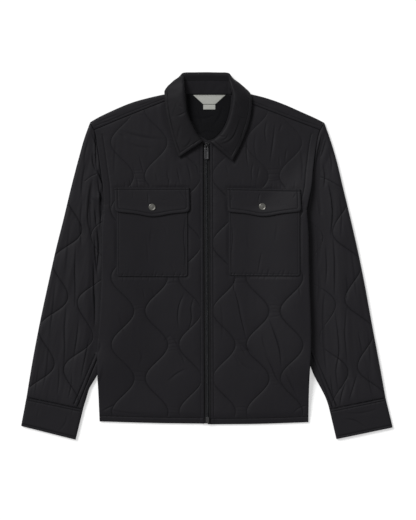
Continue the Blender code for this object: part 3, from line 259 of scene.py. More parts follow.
def follow(line: Array, x: Array, y: Array) -> tuple[Array, Array]:
    """Where points lie beside a line.

    Args:
        line: Points of the line.
        x: X of the points to place.
        y: Y of the points to place.

    Returns:
        The distance from the line, positive to its left, and the place along it.
    """
    start, step = line[:-1], np.diff(line, axis=0)
    length = np.maximum(np.hypot(step[:, 0], step[:, 1]), 1e-9)
    before = np.concatenate([[0.0], np.cumsum(length)[:-1]])
    across, along = np.empty(x.shape), np.empty(x.shape)
    for first in range(0, x.size, CHUNK):
        part = slice(first, first + CHUNK)
        px, py = x[part, None] - start[:, 0], y[part, None] - start[:, 1]
        t = np.clip((px * step[:, 0] + py * step[:, 1]) / length**2, 0.0, 1.0)
        far = (px - t * step[:, 0]) ** 2 + (py - t * step[:, 1]) ** 2
        k = far.argmin(axis=1)
        row = np.arange(k.size)
        turn = step[k, 0] * py[row, k] - step[k, 1] * px[row, k]
        across[part] = np.copysign(np.sqrt(far[row, k]), turn)
        along[part] = before[k] + t[row, k] * length[k]
    return across, along


def edge_distance(outline: Array, x: Array, y: Array) -> Array:
    """Distance from a closed outline in plan, negative inside it."""
    across, _ = follow(np.vstack([outline, outline[:1]]), x, y)
    a, b = outline, np.roll(outline, -1, axis=0)
    within = np.zeros(x.shape, int)
    with np.errstate(divide="ignore", invalid="ignore"):
        for (ax, ay), (bx, by) in zip(a, b):
            if ay != by:
                crossing = (ay > y) != (by > y)
                within += crossing & (x < ax + (y - ay) * (bx - ax) / (by - ay))
    return np.where(within % 2 == 1, -np.abs(across), np.abs(across))


def runs(line: Array, keep: Array) -> list[Array]:
    """The stretches of a line whose points are kept, without the shortest."""
    breaks = np.flatnonzero(np.diff(keep.astype(int))) + 1
    stretches = zip(np.split(line, breaks), np.split(keep, breaks))
    return [run for run, wanted in stretches if wanted[0] and len(run) > 4]


def beside(line: Array, margin: float, x: Array, y: Array, height: Callable[..., Array]) -> Array:
    """Heights beside a line, and none further off.

    Args:
        line: The line in plan.
        margin: How far from it heights are worked out.
        x: X of the points.
        y: Y of the points.
        height: The height from the distance across, the place along, X and Y.

    Returns:
        The height at each point.
    """
    low, high = line.min(axis=0) - margin, line.max(axis=0) + margin
    near = (x > low[0]) & (x < high[0]) & (y > low[1]) & (y < high[1])
    out = np.zeros(x.shape)
    if near.any():
        out[near] = height(*follow(line, x[near], y[near]), x[near], y[near])
    return out


# ---------------------------------------------------------------- relief of the cloth
class Ripple:
    """Smooth, repeatable unevenness from -1 to 1."""

    SIZE = 256

    def __init__(self, seed: int) -> None:
        """Draws the table of heights from a seed."""
        self.table = np.random.default_rng(seed).uniform(-1.0, 1.0, (self.SIZE, self.SIZE))

    def at(self, u: Array, v: Array) -> Array:
        """Unevenness at places measured in lengths of one ripple."""
        i, j = np.floor(u).astype(int), np.floor(v).astype(int)
        fu, fv = smoothstep(u - i), smoothstep(v - j)
        i0, i1, j0, j1 = i % self.SIZE, (i + 1) % self.SIZE, j % self.SIZE, (j + 1) % self.SIZE
        low = self.table[i0, j0] * (1 - fu) + self.table[i1, j0] * fu
        high = self.table[i0, j1] * (1 - fu) + self.table[i1, j1] * fu
        return low * (1 - fv) + high * fv


@dataclass(frozen=True)
class Crease:
    """A fold in cloth: its line in plan, how deep and wide it is, and how it leans.

    The cloth lies over towards the wearer's left, so a fold is steep on its right side.
    """

    line: tuple[Point, ...]
    depth: float
    width: float
    lean: float = 0.0

    def course(self) -> Array:
        """The fold's line as a smooth curve."""
        return smooth_line(self.line, 14)

    def relief(self, x: Array, y: Array) -> Array:
        """Height that the fold adds at each point."""
        line = self.course()
        length = np.linalg.norm(np.diff(line, axis=0), axis=1).sum()
        way = line[-1] - line[0]
        over = 1.0 if -way[1] * 0.82 - way[0] * 0.57 > 0 else -1.0

        def height(across: Array, along: Array, *_: Array) -> Array:
            """The fold: a groove with a ridge beside it, tapered at its ends."""
            taper = np.sin(np.pi * np.clip(along / length, 0.02, 0.98)) ** 0.7
            side = np.sign(across)
            d = np.abs(across) / (0.62 * self.width * (1.0 + (0.5 * over + 0.35 * self.lean) * side))
            ridge = np.where(side == over, 0.04, 0.26) * np.exp(-(((d - 2.4) / 1.5) ** 2))
            return taper * self.depth * (ridge - np.exp(-d**1.35))

        return beside(line, 5.0 * self.width, x, y, height)


def folds(*rows: tuple[float, ...]) -> tuple[Crease, ...]:
    """Creases from rows: depth, width, the lean if it has one, then X and Y of each point."""
    cuts = [2 + len(row) % 2 for row in rows]
    return tuple(Crease(tuple(zip(row[cut::2], row[cut + 1::2])), *row[:cut])
                 for row, cut in zip(rows, cuts))


@dataclass
class Seam:
    """A stitched line: a narrow groove, cloth puckered beside it, and its stitches."""

    line: Array
    depth: float = 0.45
    width: float = 0.8
    pucker: float = 0.18
    reach: float = 5.0
    beat: float = 5.5
    seed: int = 1
    fade: Height | None = None

    def relief(self, x: Array, y: Array) -> Array:
        """Height that the seam adds at each point."""
        ripple = Ripple(self.seed)

        def height(across: Array, along: Array, x: Array, y: Array) -> Array:
            """The groove and the puckers beside it."""
            side = np.where(across > 0, 7.3, 0.0)
            wave = ripple.at((along + 0.25 * across) / self.beat, side) + 0.5 * ripple.at(
                along / (0.5 * self.beat), side + 31.0)
            d = np.abs(across)
            puckers = wave * np.exp(-d / self.reach) * (1 - np.exp(-d / 1.4))
            out = self.pucker * puckers - self.depth * np.exp(-((d / self.width) ** 2))
            return out * self.fade(x, y) if self.fade else out

        return beside(resample(self.line, 3.0), 3.2 * self.reach, x, y, height)


@dataclass(frozen=True)
class Band:
    """A strip of doubled cloth that stands up between two rows of stitches."""

    line: Array
    half: float
    rise: float

    def relief(self, x: Array, y: Array) -> Array:
        """Height that the strip adds at each point."""
        across, _ = follow(self.line, x, y)
        return self.rise * smoothstep((self.half - np.abs(across)) / 0.9 + 0.5)


@dataclass(frozen=True)
class Roll:
    """An edge of cloth that rounds away: its line in plan, its width and its drop."""

    line: Array
    width: float
    drop: float

    def fall(self, x: Array, y: Array) -> Array:
        """How far the surface has fallen at each point."""
        return beside(resample(self.line, 6.0), self.width, x, y,
                      lambda across, *_: bullnose(np.abs(across), self.width, self.drop))


@dataclass
class Surface:
    """The outside of a panel: a smooth form with seams, folds and rolled edges."""

    form: Height
    seams: list[Seam] = field(default_factory=list)
    creases: list[Crease] = field(default_factory=list)
    rolls: list[Roll] = field(default_factory=list)
    ruffle: Height | None = None
    bands: list[Band] = field(default_factory=list)
    least: float = -99.0

    def lines(self) -> list[Array]:
        """Lines that need points of their own: seams and the longer sharp folds."""
        folds = [fold.course() for fold in self.creases if fold.depth >= 0.6 and fold.width < 5
                 and math.dist(fold.line[0], fold.line[-1]) > 20]
        return [seam.line for seam in self.seams] + folds

    def height(self, x: Array, y: Array) -> Array:
        """Height with all that is pressed into the cloth."""
        z = self.form(x, y)
        for part in (*self.seams, *self.creases, *self.bands):
            z = z + part.relief(x, y)
        if self.ruffle:
            z = z + self.ruffle(x, y)
        for roll in self.rolls:
            z = z - roll.fall(x, y)
        return np.maximum(z, self.least)


def level(height: float) -> Height:
    """A surface of one height."""
    return lambda x, y: np.full(x.shape, height)


def fringe(line: Array, step: float, length: float, depth: float, width: float, slant: float,
           seed: int) -> list[Crease]:
    """Short folds that run out from a seam, uneven in place, length and depth.

    Args:
        line: The seam; the folds run to its left.
        step: Mean distance between folds.
        length: Mean length of a fold.
        depth: Mean depth.
        width: Mean width.
        slant: How far a fold leans along the seam for each unit of its length.
        seed: Seed of the unevenness.

    Returns:
        The folds.
    """
    draw = np.random.default_rng(seed)
    even = resample(line, 2.0)
    left = normals_of(even)
    along = np.column_stack([left[:, 1], -left[:, 0]])
    out, place = [], draw.uniform(0.2, 0.9) * step
    while place < 2.0 * (len(even) - 2):
        k = int(place / 2.0)
        reach = length * draw.uniform(0.45, 1.5)
        lean = slant + draw.uniform(-0.25, 0.25)
        start = even[k] - left[k] * 0.1 * reach
        middle = even[k] + left[k] * 0.5 * reach + along[k] * lean * 0.6 * reach
        end = even[k] + left[k] * reach + along[k] * lean * reach
        out.append(Crease((tuple(start), tuple(middle), tuple(end)), depth * draw.uniform(0.4, 1.3),
                          width * draw.uniform(0.8, 1.3), draw.uniform(-0.3, 0.3)))
        place += step * draw.uniform(0.5, 1.6)
    return out


# ---------------------------------------------------------------- meshes
def make_object(name: str, points: Array, faces: Sequence, finish: Material,
                sharp: float = 50.0) -> Object:
    """Makes a mesh object.

    Args:
        name: Name of the piece.
        points: Points in millimetres.
        faces: Faces, turned outward.
        finish: Its material.
        sharp: Angle in degrees from which an edge is shaded sharp.

    Returns:
        The new object.
    """
    mesh = bpy.data.meshes.new(name)
    mesh.from_pydata((np.asarray(points, float) * MM).tolist(), [], [tuple(map(int, f)) for f in faces])
    mesh.materials.append(finish)
    mesh.shade_smooth()
    mesh.set_sharp_from_angle(angle=math.radians(sharp))
    made = bpy.data.objects.new(name, mesh)
    bpy.context.scene.collection.objects.link(made)
    return made


def declare(piece: Object, node: str, slot: str, *rests_on: str, held: str = "laid",
            flat: Point | None = None, area: float = 0.0, outline: Array | None = None) -> Object:
    """Hides the solid that a piece replaces; the slot and cut given to it are not kept.

    Args:
        piece: The piece.
        node: The solid that it replaces.
        slot: Its material slot. Not used.
        rests_on: The pieces that it lies on, for cloth. Not used.
        held: How it is held. Not used.
        flat: Width and length of its cut. Not used.
        area: Area of its cut. Not used.
        outline: Its plan, from which flat and area are worked out.

    Returns:
        The piece.
    """
    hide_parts(node)
    if outline is not None:
        width, length = np.ptp(outline, axis=0) * MM
        flat, area = (float(width), float(length)), plan_area(outline)
    return piece


def ring(turns: int) -> Array:
    """Even angles round a circle."""
    return 2 * math.pi * np.arange(turns) / turns


def strip(low: int, high: int, count: int) -> list[tuple[int, ...]]:
    """Faces between two rings of points, for rings that turn left when seen from the high one."""
    after = [(k + 1) % count for k in range(count)]
    return [(low + k, low + j, high + j, high + k) for k, j in enumerate(after)]


def loft(base: int, rings: int, count: int) -> list[tuple[int, ...]]:
    """Faces of a closed bar through rings of points, for rings that turn right along it."""
    last = base + (rings - 1) * count
    faces = [tuple(range(base, base + count)), tuple(range(last, last + count))[::-1]]
    for low in range(base, last, count):
        faces += [(a, d, c, b) for a, b, c, d in strip(low, low + count, count)]
    return faces


def spread(outline: Array, pitch: float, lines: Sequence[Array], rings: Sequence[float]) -> Array:
    """Points inside an outline: even over it, and finer along lines and its edge.

    Args:
        outline: The closed outline.
        pitch: Distance between the even points.
        lines: Lines that need points of their own.
        rings: Distances in from the outline for rows along it.

    Returns:
        The points.
    """
    rows = []
    for line in lines:
        fine = resample(line, OUTLINE_STEP)
        left = normals_of(fine)
        rows += [fine + left * offset for offset in (0.0, 0.8, -0.8, 1.9, -1.9)]
    left = normals_of(np.vstack([outline[-1:], outline, outline[:1]]))[1:-1]
    rows += [outline + left * inset for inset in rings]
    low, high = outline.min(axis=0), outline.max(axis=0)
    xs, ys = (np.arange(low[k], high[k], pitch * scale) for k, scale in ((0, 1.0), (1, 0.87)))
    points = np.array([(x + (j % 2) * pitch / 2, y) for j, y in enumerate(ys) for x in xs])
    if rows:
        near = np.unique(np.round(np.vstack(rows) / GRID_SNAP).astype(int), axis=0) * GRID_SNAP
        tree = KDTree(len(near))
        for i, (x, y) in enumerate(near):
            tree.insert((x, y, 0.0), i)
        tree.balance()
        free = [tree.find((x, y, 0.0))[2] > 0.72 * pitch for x, y in points]
        points = np.vstack([near, points[np.array(free)]])
    coarse = outline[::3] if len(outline) > 240 else outline
    return points[edge_distance(coarse, *points.T) < -0.3]


def triangulate(outline: Array, inner: Array, holes: Sequence[Array] = ()) -> tuple[Array, list]:
    """Triangles in plan over an outline with holes.

    Args:
        outline: Closed outline, turning left.
        inner: Points inside it.
        holes: Closed outlines of holes.

    Returns:
        The points, outline and holes first, and the triangles, turning left.
    """
    loops = [outline, *holes]
    points = np.vstack([*loops, inner]) if len(inner) else np.vstack(loops)
    edges, base = [], 0
    for loop in loops:
        edges += [(base + i, base + (i + 1) % len(loop)) for i in range(len(loop))]
        base += len(loop)
    _, _, faces, sources, _, _ = delaunay_2d_cdt([Vector(p) for p in points], edges, [], 1, 1e-5)
    source = [min(ids) for ids in sources]
    triangles = [tuple(source[i] for i in face) for face in faces]
    for hole in holes:
        centres = np.array([points[list(face)].mean(axis=0) for face in triangles])
        out = edge_distance(hole, *centres.T) > 0
        triangles = [face for face, keep in zip(triangles, out) if keep]
    return points, triangles


@dataclass
class Panel:
    """A flat wall of cloth or metal between an upper and a lower surface."""

    name: str
    edges: list[Array]
    top: Surface
    bottom: Height
    finish: Material
    pitch: float = 1.9
    under_pitch: float = 14.0
    rings: tuple[float, ...] = (0.4, 1.1, 2.2)
    step: float = OUTLINE_STEP
    holes: list[Array] = field(default_factory=list)
    under: Surface | None = None

    def outline(self) -> Array:
        """The closed outline in plan."""
        return chain(resample(edge, self.step) for edge in self.edges)

    def build(self) -> Object:
        """Makes the panel."""
        outline = self.outline()
        under_lines = [seam.line for seam in self.under.seams] if self.under else []
        (up, upper), (down, lower) = (
            triangulate(outline, spread(outline, *how), self.holes)
            for how in ((self.pitch, self.top.lines(), self.rings), (self.under_pitch, under_lines, ())))
        low_height = self.under.height if self.under else self.bottom
        points = np.vstack([np.column_stack([up, self.top.height(*up.T)]),
                            np.column_stack([down, low_height(*down.T)])])
        base, first = len(up), 0
        faces = list(upper) + [tuple(base + i for i in face[::-1]) for face in lower]
        for loop in (outline, *self.holes):
            way = 1 if turned_area(loop) > 0 else -1
            for i in range(len(loop)):
                a, b = (first + i, first + (i + 1) % len(loop))[::way]
                faces.append((b, a, base + a, base + b))
            first += len(loop)
        return make_object(self.name, points, faces, self.finish)


@dataclass
class Tube:
    """A flattened tube of cloth, with a slit from end to end.

    Its edges run from the start end along one fold, the far end and the other fold.
    """

    name: str
    edges: list[Array]
    top: Surface
    bottom: Height
    finish: Material
    split: float
    slit: float
    inset: float
    pitch: float = 1.9
    under: Surface | None = None

    def build(self) -> Object:
        """Makes the tube."""
        edges = [resample(edge, OUTLINE_STEP) for edge in self.edges]
        joined = np.vstack([edge[:-1] for edge in edges])
        kind = [flag for edge, flag in zip(edges, (True, False, True, False)) for _ in edge[:-1]]
        corner = np.cumsum([0] + [len(edge) - 1 for edge in edges])
        count = len(joined)
        if turned_area(joined) <= 0:
            joined, kind = joined[::-1].copy(), kind[::-1]
            corner = np.array([(count - 1 - c) % count for c in corner])
        corners = {int(c) % count for c in corner}
        left = unit(left_of(np.roll(joined, -1, axis=0) - np.roll(joined, 1, axis=0)))
        slit_points, source = [], []
        for i in range(count):
            if i in corners:
                continue
            if kind[i]:
                slit_points.append(joined[i])
                source.append(i)
            elif i % 6 == 0 and all((i + k) % count not in corners for k in range(-4, 5)):
                slit_points.append(joined[i] + left[i] * self.inset)
                source.append(None)
        slit = triangulate(np.array(slit_points), np.zeros((0, 2)))
        under_lines = [seam.line for seam in self.under.seams] if self.under else []
        layers = ((triangulate(joined, spread(joined, self.pitch, self.top.lines(), (0.5, 1.3, 2.6, 4.4))),
                   self.top.height, False),
                  (triangulate(joined, spread(joined, 5.0, under_lines, (0.8, 2.2))),
                   self.under.height if self.under else self.bottom, True),
                  (slit, level(self.split + self.slit / 2), True),
                  (slit, level(self.split - self.slit / 2), False))
        points, faces, bases = [], [], []
        for (plan, triangles), height, flip in layers:
            base = sum(len(block) for block in points)
            bases.append(base)
            points.append(np.column_stack([plan, height(*plan.T)]))
            faces += [tuple(base + i for i in (face[::-1] if flip else face)) for face in triangles]
        t, b, su, sl = bases
        place = {i: k for k, i in enumerate(source) if i is not None}
        for i in range(count):
            j = (i + 1) % count
            if i in place and j in place:
                faces.append((t + j, t + i, su + place[i], su + place[j]))
                faces.append((sl + place[j], sl + place[i], b + i, b + j))
            elif i in place:
                faces.append((t + j, t + i, su + place[i], sl + place[i], b + i, b + j))
            elif j in place:
                faces.append((t + j, t + i, b + i, b + j, sl + place[j], su + place[j]))
            else:
                faces.append((t + j, t + i, b + i, b + j))
        for i, start in enumerate(source):
            j = (i + 1) % len(source)
            if start is None or source[j] is None:
                faces.append((su + i, su + j, sl + j, sl + i))
        return make_object(self.name, np.vstack(points), faces, self.finish)


def grid_places(grid: Array) -> tuple[Array, Array]:
    """How far each point of a grid lies down its column and along its row."""
    steps = (np.diff(grid, axis=k, prepend=grid.take([0], axis=k)) for k in (0, 1))
    return tuple(np.cumsum(np.linalg.norm(step, axis=2), axis=k) for k, step in enumerate(steps))


@dataclass
class Shell:
    """A wall of even thickness about a grid of points, its rim rounded."""

    name: str
    grid: Array
    wall: float
    rim: float
    finish: Material
    relief: Callable[[Array, Array, Array], Array]
    sewn_first: bool = False
    sewn_last: bool = False

    def normals(self) -> Array:
        """Unit normals of the grid, from the cross of its two directions."""
        return unit(np.cross(np.gradient(self.grid, axis=0), np.gradient(self.grid, axis=1)))

    def room(self) -> Array:
        """Distance of each point of the grid from its rim, apart from a rim that is sewn down."""
        down, over = grid_places(self.grid)
        ends = np.minimum(over + SEWN_DOWN * self.sewn_first,
                          over[:, -1:] - over + SEWN_DOWN * self.sewn_last)
        return np.minimum(np.minimum(down, down[-1:] - down), ends)

    def build(self) -> Object:
        """Makes the shell."""
        normal, room = self.normals(), self.room()
        t = 1.0 - np.clip(room / self.rim, 0.0, 1.0)
        half = np.maximum(0.5 * self.wall * np.sqrt(1.0 - t**2), 0.25)[..., None]
        raised = self.relief(self.grid, normal, room)[..., None]
        rows, cols = self.grid.shape[:2]
        points = np.vstack([(self.grid + normal * (half + raised)).reshape(-1, 3),
                            (self.grid - normal * half).reshape(-1, 3)])
        points[:, 2] = np.maximum(points[:, 2], 0.05)
        low, faces = rows * cols, []
        for a in (r * cols + c for r in range(rows - 1) for c in range(cols - 1)):
            corners = (a, a + cols, a + cols + 1, a + 1)
            faces += [corners, (low + a, *(low + corner for corner in corners[:0:-1]))]
        rim = ([*range(cols)] + [r * cols + cols - 1 for r in range(1, rows)]
               + [(rows - 1) * cols + c for c in range(cols - 2, -1, -1)]
               + [r * cols for r in range(rows - 2, 0, -1)])
        faces += [(a, b, low + b, low + a) for a, b in zip(rim, rim[1:] + rim[:1])]
        return make_object(self.name, points, faces, self.finish)


@dataclass
class Stitching:
    """Thread beads sewn along lines, gathered into one piece."""

    name: str
    finish: Material
    length: float = 2.7
    pitch: float = 3.4
    width: float = 0.62
    rise: float = 0.5
    turns: int = 5
    points: list[Array] = field(default_factory=list)
    faces: list[tuple] = field(default_factory=list)
    total: int = 0

    def sew(self, path: Array, up: Array | None = None) -> None:
        """Adds stitches along a line in space.

        Args:
            path: Points of the line.
            up: Direction away from the cloth at each point, or None for straight up.
        """
        keys = places_along(path)
        middles = np.arange(self.pitch, keys[-1] - 0.5 * self.pitch, self.pitch)
        if not len(middles):
            return
        up = np.tile((0.0, 0.0, 1.0), (len(path), 1)) if up is None else up
        start, end = (read_points(middles + s * 0.5 * self.length, keys, path) for s in (-1, 1))
        along = unit(end - start)
        across = unit(np.cross(read_points(middles, keys, up), along))
        away = np.cross(along, across)
        a = 0.5 * self.length
        bead = [(-a, 0.0, -0.15), *((at, 0.5 * self.width * math.sin(w), 0.5 * self.rise * math.cos(w))
                                    for at in (-0.62 * a, 0.62 * a) for w in ring(self.turns)),
                (a, 0.0, -0.15)]
        shape = np.array(bead)
        first, second, last = 1, 1 + self.turns, 1 + 2 * self.turns
        faces = [(0, first + k, first + (k + 1) % self.turns) for k in range(self.turns)]
        faces += [(a, d, c, b) for a, b, c, d in strip(first, second, self.turns)]
        faces += [(last, second + (k + 1) % self.turns, second + k) for k in range(self.turns)]
        place = 0.5 * (start + end) + away * 0.12
        block = (place[:, None] + shape[None, :, :1] * along[:, None] + shape[None, :, 1:2]
                 * across[:, None] + shape[None, :, 2:] * away[:, None]).reshape(-1, 3)
        self.points.append(block)
        for k in range(len(middles)):
            base = self.total + k * len(shape)
            self.faces += [tuple(base + i for i in face) for face in faces]
        self.total += len(block)

    def sew_on(self, surface: Surface, lines: Iterable[Array]) -> None:
        """Adds stitches along lines in plan, on a surface."""
        for line in lines:
            even = resample(line, STITCH_STEP)
            self.sew(np.column_stack([even, surface.height(*even.T)]))

    def build(self) -> Object:
        """Makes the piece."""
        return make_object(self.name, np.vstack(self.points), self.faces, self.finish, 80.0)


def turned(name: str, profile: Sequence[Point], centre: tuple[float, float, float], turns: int,
           finish: Material) -> Object:
    """A shape turned about an upright axis.

    Args:
        name: Name of the piece.
        profile: Radius and height, from the axis under it to the axis above it.
        centre: Foot of the axis.
        turns: Sides of the round.
        finish: Its material.

    Returns:
        Its object.
    """
    angle = ring(turns)
    rings = [np.column_stack([r * np.cos(angle), r * np.sin(angle), np.full(turns, h)])
             for r, h in profile[1:-1]]
    points = np.vstack([[(0, 0, profile[0][1])], *rings, [(0, 0, profile[-1][1])]]) + centre
    last = 1 + (len(rings) - 1) * turns
    faces = [(0, 1 + (k + 1) % turns, 1 + k) for k in range(turns)]
    for low in range(1, last, turns):
        faces += strip(low, low + turns, turns)
    faces += [(last + k, last + (k + 1) % turns, len(points) - 1) for k in range(turns)]
    return make_object(name, points, faces, finish, 35.0)


# ---------------------------------------------------------------- finishes
class Value:
    """A number, colour or vector that varies over a surface."""

    def __init__(self, graph: "Graph", socket: NodeSocket) -> None:
        """Wraps a socket of a material's nodes."""
        self.graph, self.socket = graph, socket

    def _math(self, operation: str, *values: "Value | float") -> "Value":
        """One Math node."""
        return self.graph.node("ShaderNodeMath", {"operation": operation}, dict(enumerate(values)))

    def __add__(self, other: "Value | float") -> "Value":
        """Sum."""
        return self._math("ADD", self, other)

    __radd__ = __add__

    def __sub__(self, other: "Value | float") -> "Value":
        """Difference."""
        return self._math("SUBTRACT", self, other)

    def __rsub__(self, other: float) -> "Value":
        """Difference from a number."""
        return self._math("SUBTRACT", other, self)

    def __mul__(self, other: "Value | float") -> "Value":
        """Product."""
        return self._math("MULTIPLY", self, other)

    __rmul__ = __mul__

    def __pow__(self, other: float) -> "Value":
        """Power."""
        return self._math("POWER", self, other)

    def sine(self) -> "Value":
        """Sine of an angle in radians."""
        return self._math("SINE", self)

    def size(self) -> "Value":
        """The number without its sign."""
        return self._math("ABSOLUTE", self)


class Graph:
    """The nodes of one material."""

    def __init__(self, name: str) -> None:
        """Starts a material with only its shader and its output."""
        self.material = bpy.data.materials.new(name)
        self.material.use_nodes = True
        self.nodes = self.material.node_tree.nodes
        self.links = self.material.node_tree.links
        self.shader = self.nodes["Principled BSDF"]

    def node(self, kind: str, settings: dict | None = None, inputs: dict | None = None,
             output: int | str = 0) -> Value:
        """Adds a node.

        Args:
            kind: Type of node.
            settings: Its settings, set first.
            inputs: Values or links by socket.
            output: Which output to hand back.

        Returns:
            The output.
        """
        made = self.nodes.new(kind)
        for key, value in (settings or {}).items():
            setattr(made, key, value)
        for key, value in (inputs or {}).items():
            self.feed(made.inputs[key], value)
        return Value(self, made.outputs[output])

    def feed(self, socket: NodeSocket, value: "Value | float | tuple") -> None:
        """Links a value to a socket, or sets it there."""
        if isinstance(value, Value):
            self.links.new(value.socket, socket)
        else:
            socket.default_value = value

    def dress(self, **inputs: "Value | float | tuple") -> Material:
        """Feeds the shader, its sockets named with _ for a space, and hands back the material."""
        for key, value in inputs.items():
            self.feed(self.shader.inputs[key.replace("_", " ")], value)
        return self.material

    def place(self, turn: float = 0.0) -> Value:
        """Object coordinates in metres, turned about Z."""
        at = self.node("ShaderNodeTexCoord", output="Object")
        return self.node("ShaderNodeVectorRotate", {"rotation_type": "Z_AXIS"},
                         {"Vector": at, "Angle": turn}) if turn else at

    def axes(self, at: Value) -> tuple[Value, ...]:
        """X and Y of a vector."""
        return tuple(self.node("ShaderNodeSeparateXYZ", inputs={0: at}, output=axis) for axis in "XY")

    def noise(self, at: Value, cells: float, detail: float = 2.0, rough: float = 0.5) -> Value:
        """Noise from 0 to 1, with so many cells to the metre."""
        return self.node("ShaderNodeTexNoise", {"noise_dimensions": "3D"},
                         {"Vector": at, "Scale": cells, "Detail": detail, "Roughness": rough}, "Fac")

    def blend(self, factor: Value, low: tuple, high: tuple) -> Value:
        """A colour between two."""
        made = self.node("ShaderNodeMix", {"data_type": "RGBA"}, {"Factor": factor}, 2)
        mix = made.socket.node
        mix.inputs[6].default_value, mix.inputs[7].default_value = (*low, 1.0), (*high, 1.0)
        return made

    def bump(self, height: Value, distance: float) -> Value:
        """A normal from a height, so many metres deep."""
        return self.node("ShaderNodeBump", inputs={"Height": height, "Distance": distance}, output="Normal")


@dataclass(frozen=True)
class Finish:
    """A finish by name, between its darkest and its lightest colour."""

    name: str
    low: Triple
    high: Triple


@dataclass(frozen=True)
class Nylon(Finish):
    """Fine plain-woven nylon with a soft sheen, a little crinkled."""

    turn: float = 0.0
    roughness: float = 0.56
    crinkle: float = 0.00016
    thread: float = 0.00042
    sheen: float = 0.03
    specular: float = 0.11

    def make(self) -> Material:
        """Makes the material."""
        g = Graph(self.name)
        at = g.place(self.turn)
        x, y = g.axes(at)
        turns = 2 * math.pi / self.thread
        weave = (x * turns).sine() * (y * turns).sine()
        crinkle = g.noise(at, 130.0, 3.0, 0.55)
        mottle = g.noise(at, 22.0, 3.0, 0.6)
        fleck = g.noise(at, 1400.0, 1.0)
        colour = g.blend(mottle * 0.75 + fleck * 0.5 - 0.12, self.low, self.high)
        rough = self.roughness - 0.05 + 0.10 * mottle + 0.05 * fleck
        height = crinkle + weave * 0.05 + fleck * 0.04
        return g.dress(Base_Color=colour, Roughness=rough, Normal=g.bump(height, self.crinkle),
                       Sheen_Weight=self.sheen, Sheen_Roughness=0.45,
                       Specular_IOR_Level=self.specular)


@dataclass(frozen=True)
class Woven(Finish):
    """A close narrow weave, such as tape, a label or lining."""

    warp: float
    weft: float
    depth: float
    roughness: float = 0.6
    sheen: float = 0.02
    specular: float = 0.15

    def make(self) -> Material:
        """Makes the material."""
        g = Graph(self.name)
        at = g.place()
        x, y = g.axes(at)
        warp = (x * (2 * math.pi / self.warp)).sine()
        weft = (y * (2 * math.pi / self.weft)).sine()
        weave = warp * weft
        wear = g.noise(at, 60.0, 3.0, 0.6)
        colour = g.blend(wear * 0.6 + weave * 0.18 + 0.2, self.low, self.high)
        return g.dress(Base_Color=colour, Roughness=self.roughness - 0.06 + 0.12 * wear,
                       Normal=g.bump(weave * 0.5 + wear, self.depth), Sheen_Weight=self.sheen,
                       Specular_IOR_Level=self.specular)


@dataclass(frozen=True)
class Thread(Finish):
    """Twisted sewing thread."""

    def make(self) -> Material:
        """Makes the material."""
        g = Graph(self.name)
        at = g.place()
        x, y = g.axes(at)
        twist = ((x + y) * (2 * math.pi / 0.0005)).sine()
        fuzz = g.noise(at, 900.0, 2.0)
        return g.dress(Base_Color=g.blend(fuzz, self.low, self.high), Roughness=0.55 + 0.1 * fuzz,
                       Normal=g.bump(twist * 0.5 + fuzz, 0.00008), Specular_IOR_Level=0.15)


@dataclass(frozen=True)
class PlatedMetal(Finish):
    """Plated or painted metal: fine brushing, worn patches and a few specks."""

    roughness: float
    metallic: float = 1.0
    brush: float = 1800.0

    def make(self) -> Material:
        """Makes the material."""
        g = Graph(self.name)
        at = g.place()
        fine = g.noise(at, self.brush, 2.0)
        worn = g.noise(at, 260.0, 3.0, 0.65)
        colour = g.blend(worn * 0.8 + fine * 0.2, self.low, self.high)
        return g.dress(Base_Color=colour, Metallic=self.metallic,
                       Roughness=self.roughness - 0.08 + 0.12 * worn + 0.05 * fine,
                       Normal=g.bump(fine + worn * 2.0, 0.00003))


@dataclass(frozen=True)
class Moulded(Finish):
    """Moulded plastic teeth with a faint gloss."""

    def make(self) -> Material:
        """Makes the material."""
        g = Graph(self.name)
        at = g.place()
        grain = g.noise(at, 1500.0, 2.0)
        wear = g.noise(at, 200.0, 2.0)
        return g.dress(Base_Color=g.blend(wear, self.low, self.high), Roughness=0.34 + 0.12 * grain,
                       Normal=g.bump(grain, 0.00002))


@dataclass(frozen=True)
class Ground:
    """Pale seamless paper over a dim light table."""

    name: str
    tone: float
    glow: float = 0.44

    def make(self) -> Material:
        """Makes the material."""
        g = Graph(self.name)
        at = g.place()
        tooth = g.noise(at, 500.0, 2.0)
        low = self.tone - 0.01
        return g.dress(Base_Color=g.blend(tooth, (low, low, low), (self.tone,) * 3),
                       Roughness=0.9 + 0.05 * tooth, Specular_IOR_Level=0.1,
                       Emission_Color=(1.0, 1.0, 1.0, 1.0), Emission_Strength=self.glow)


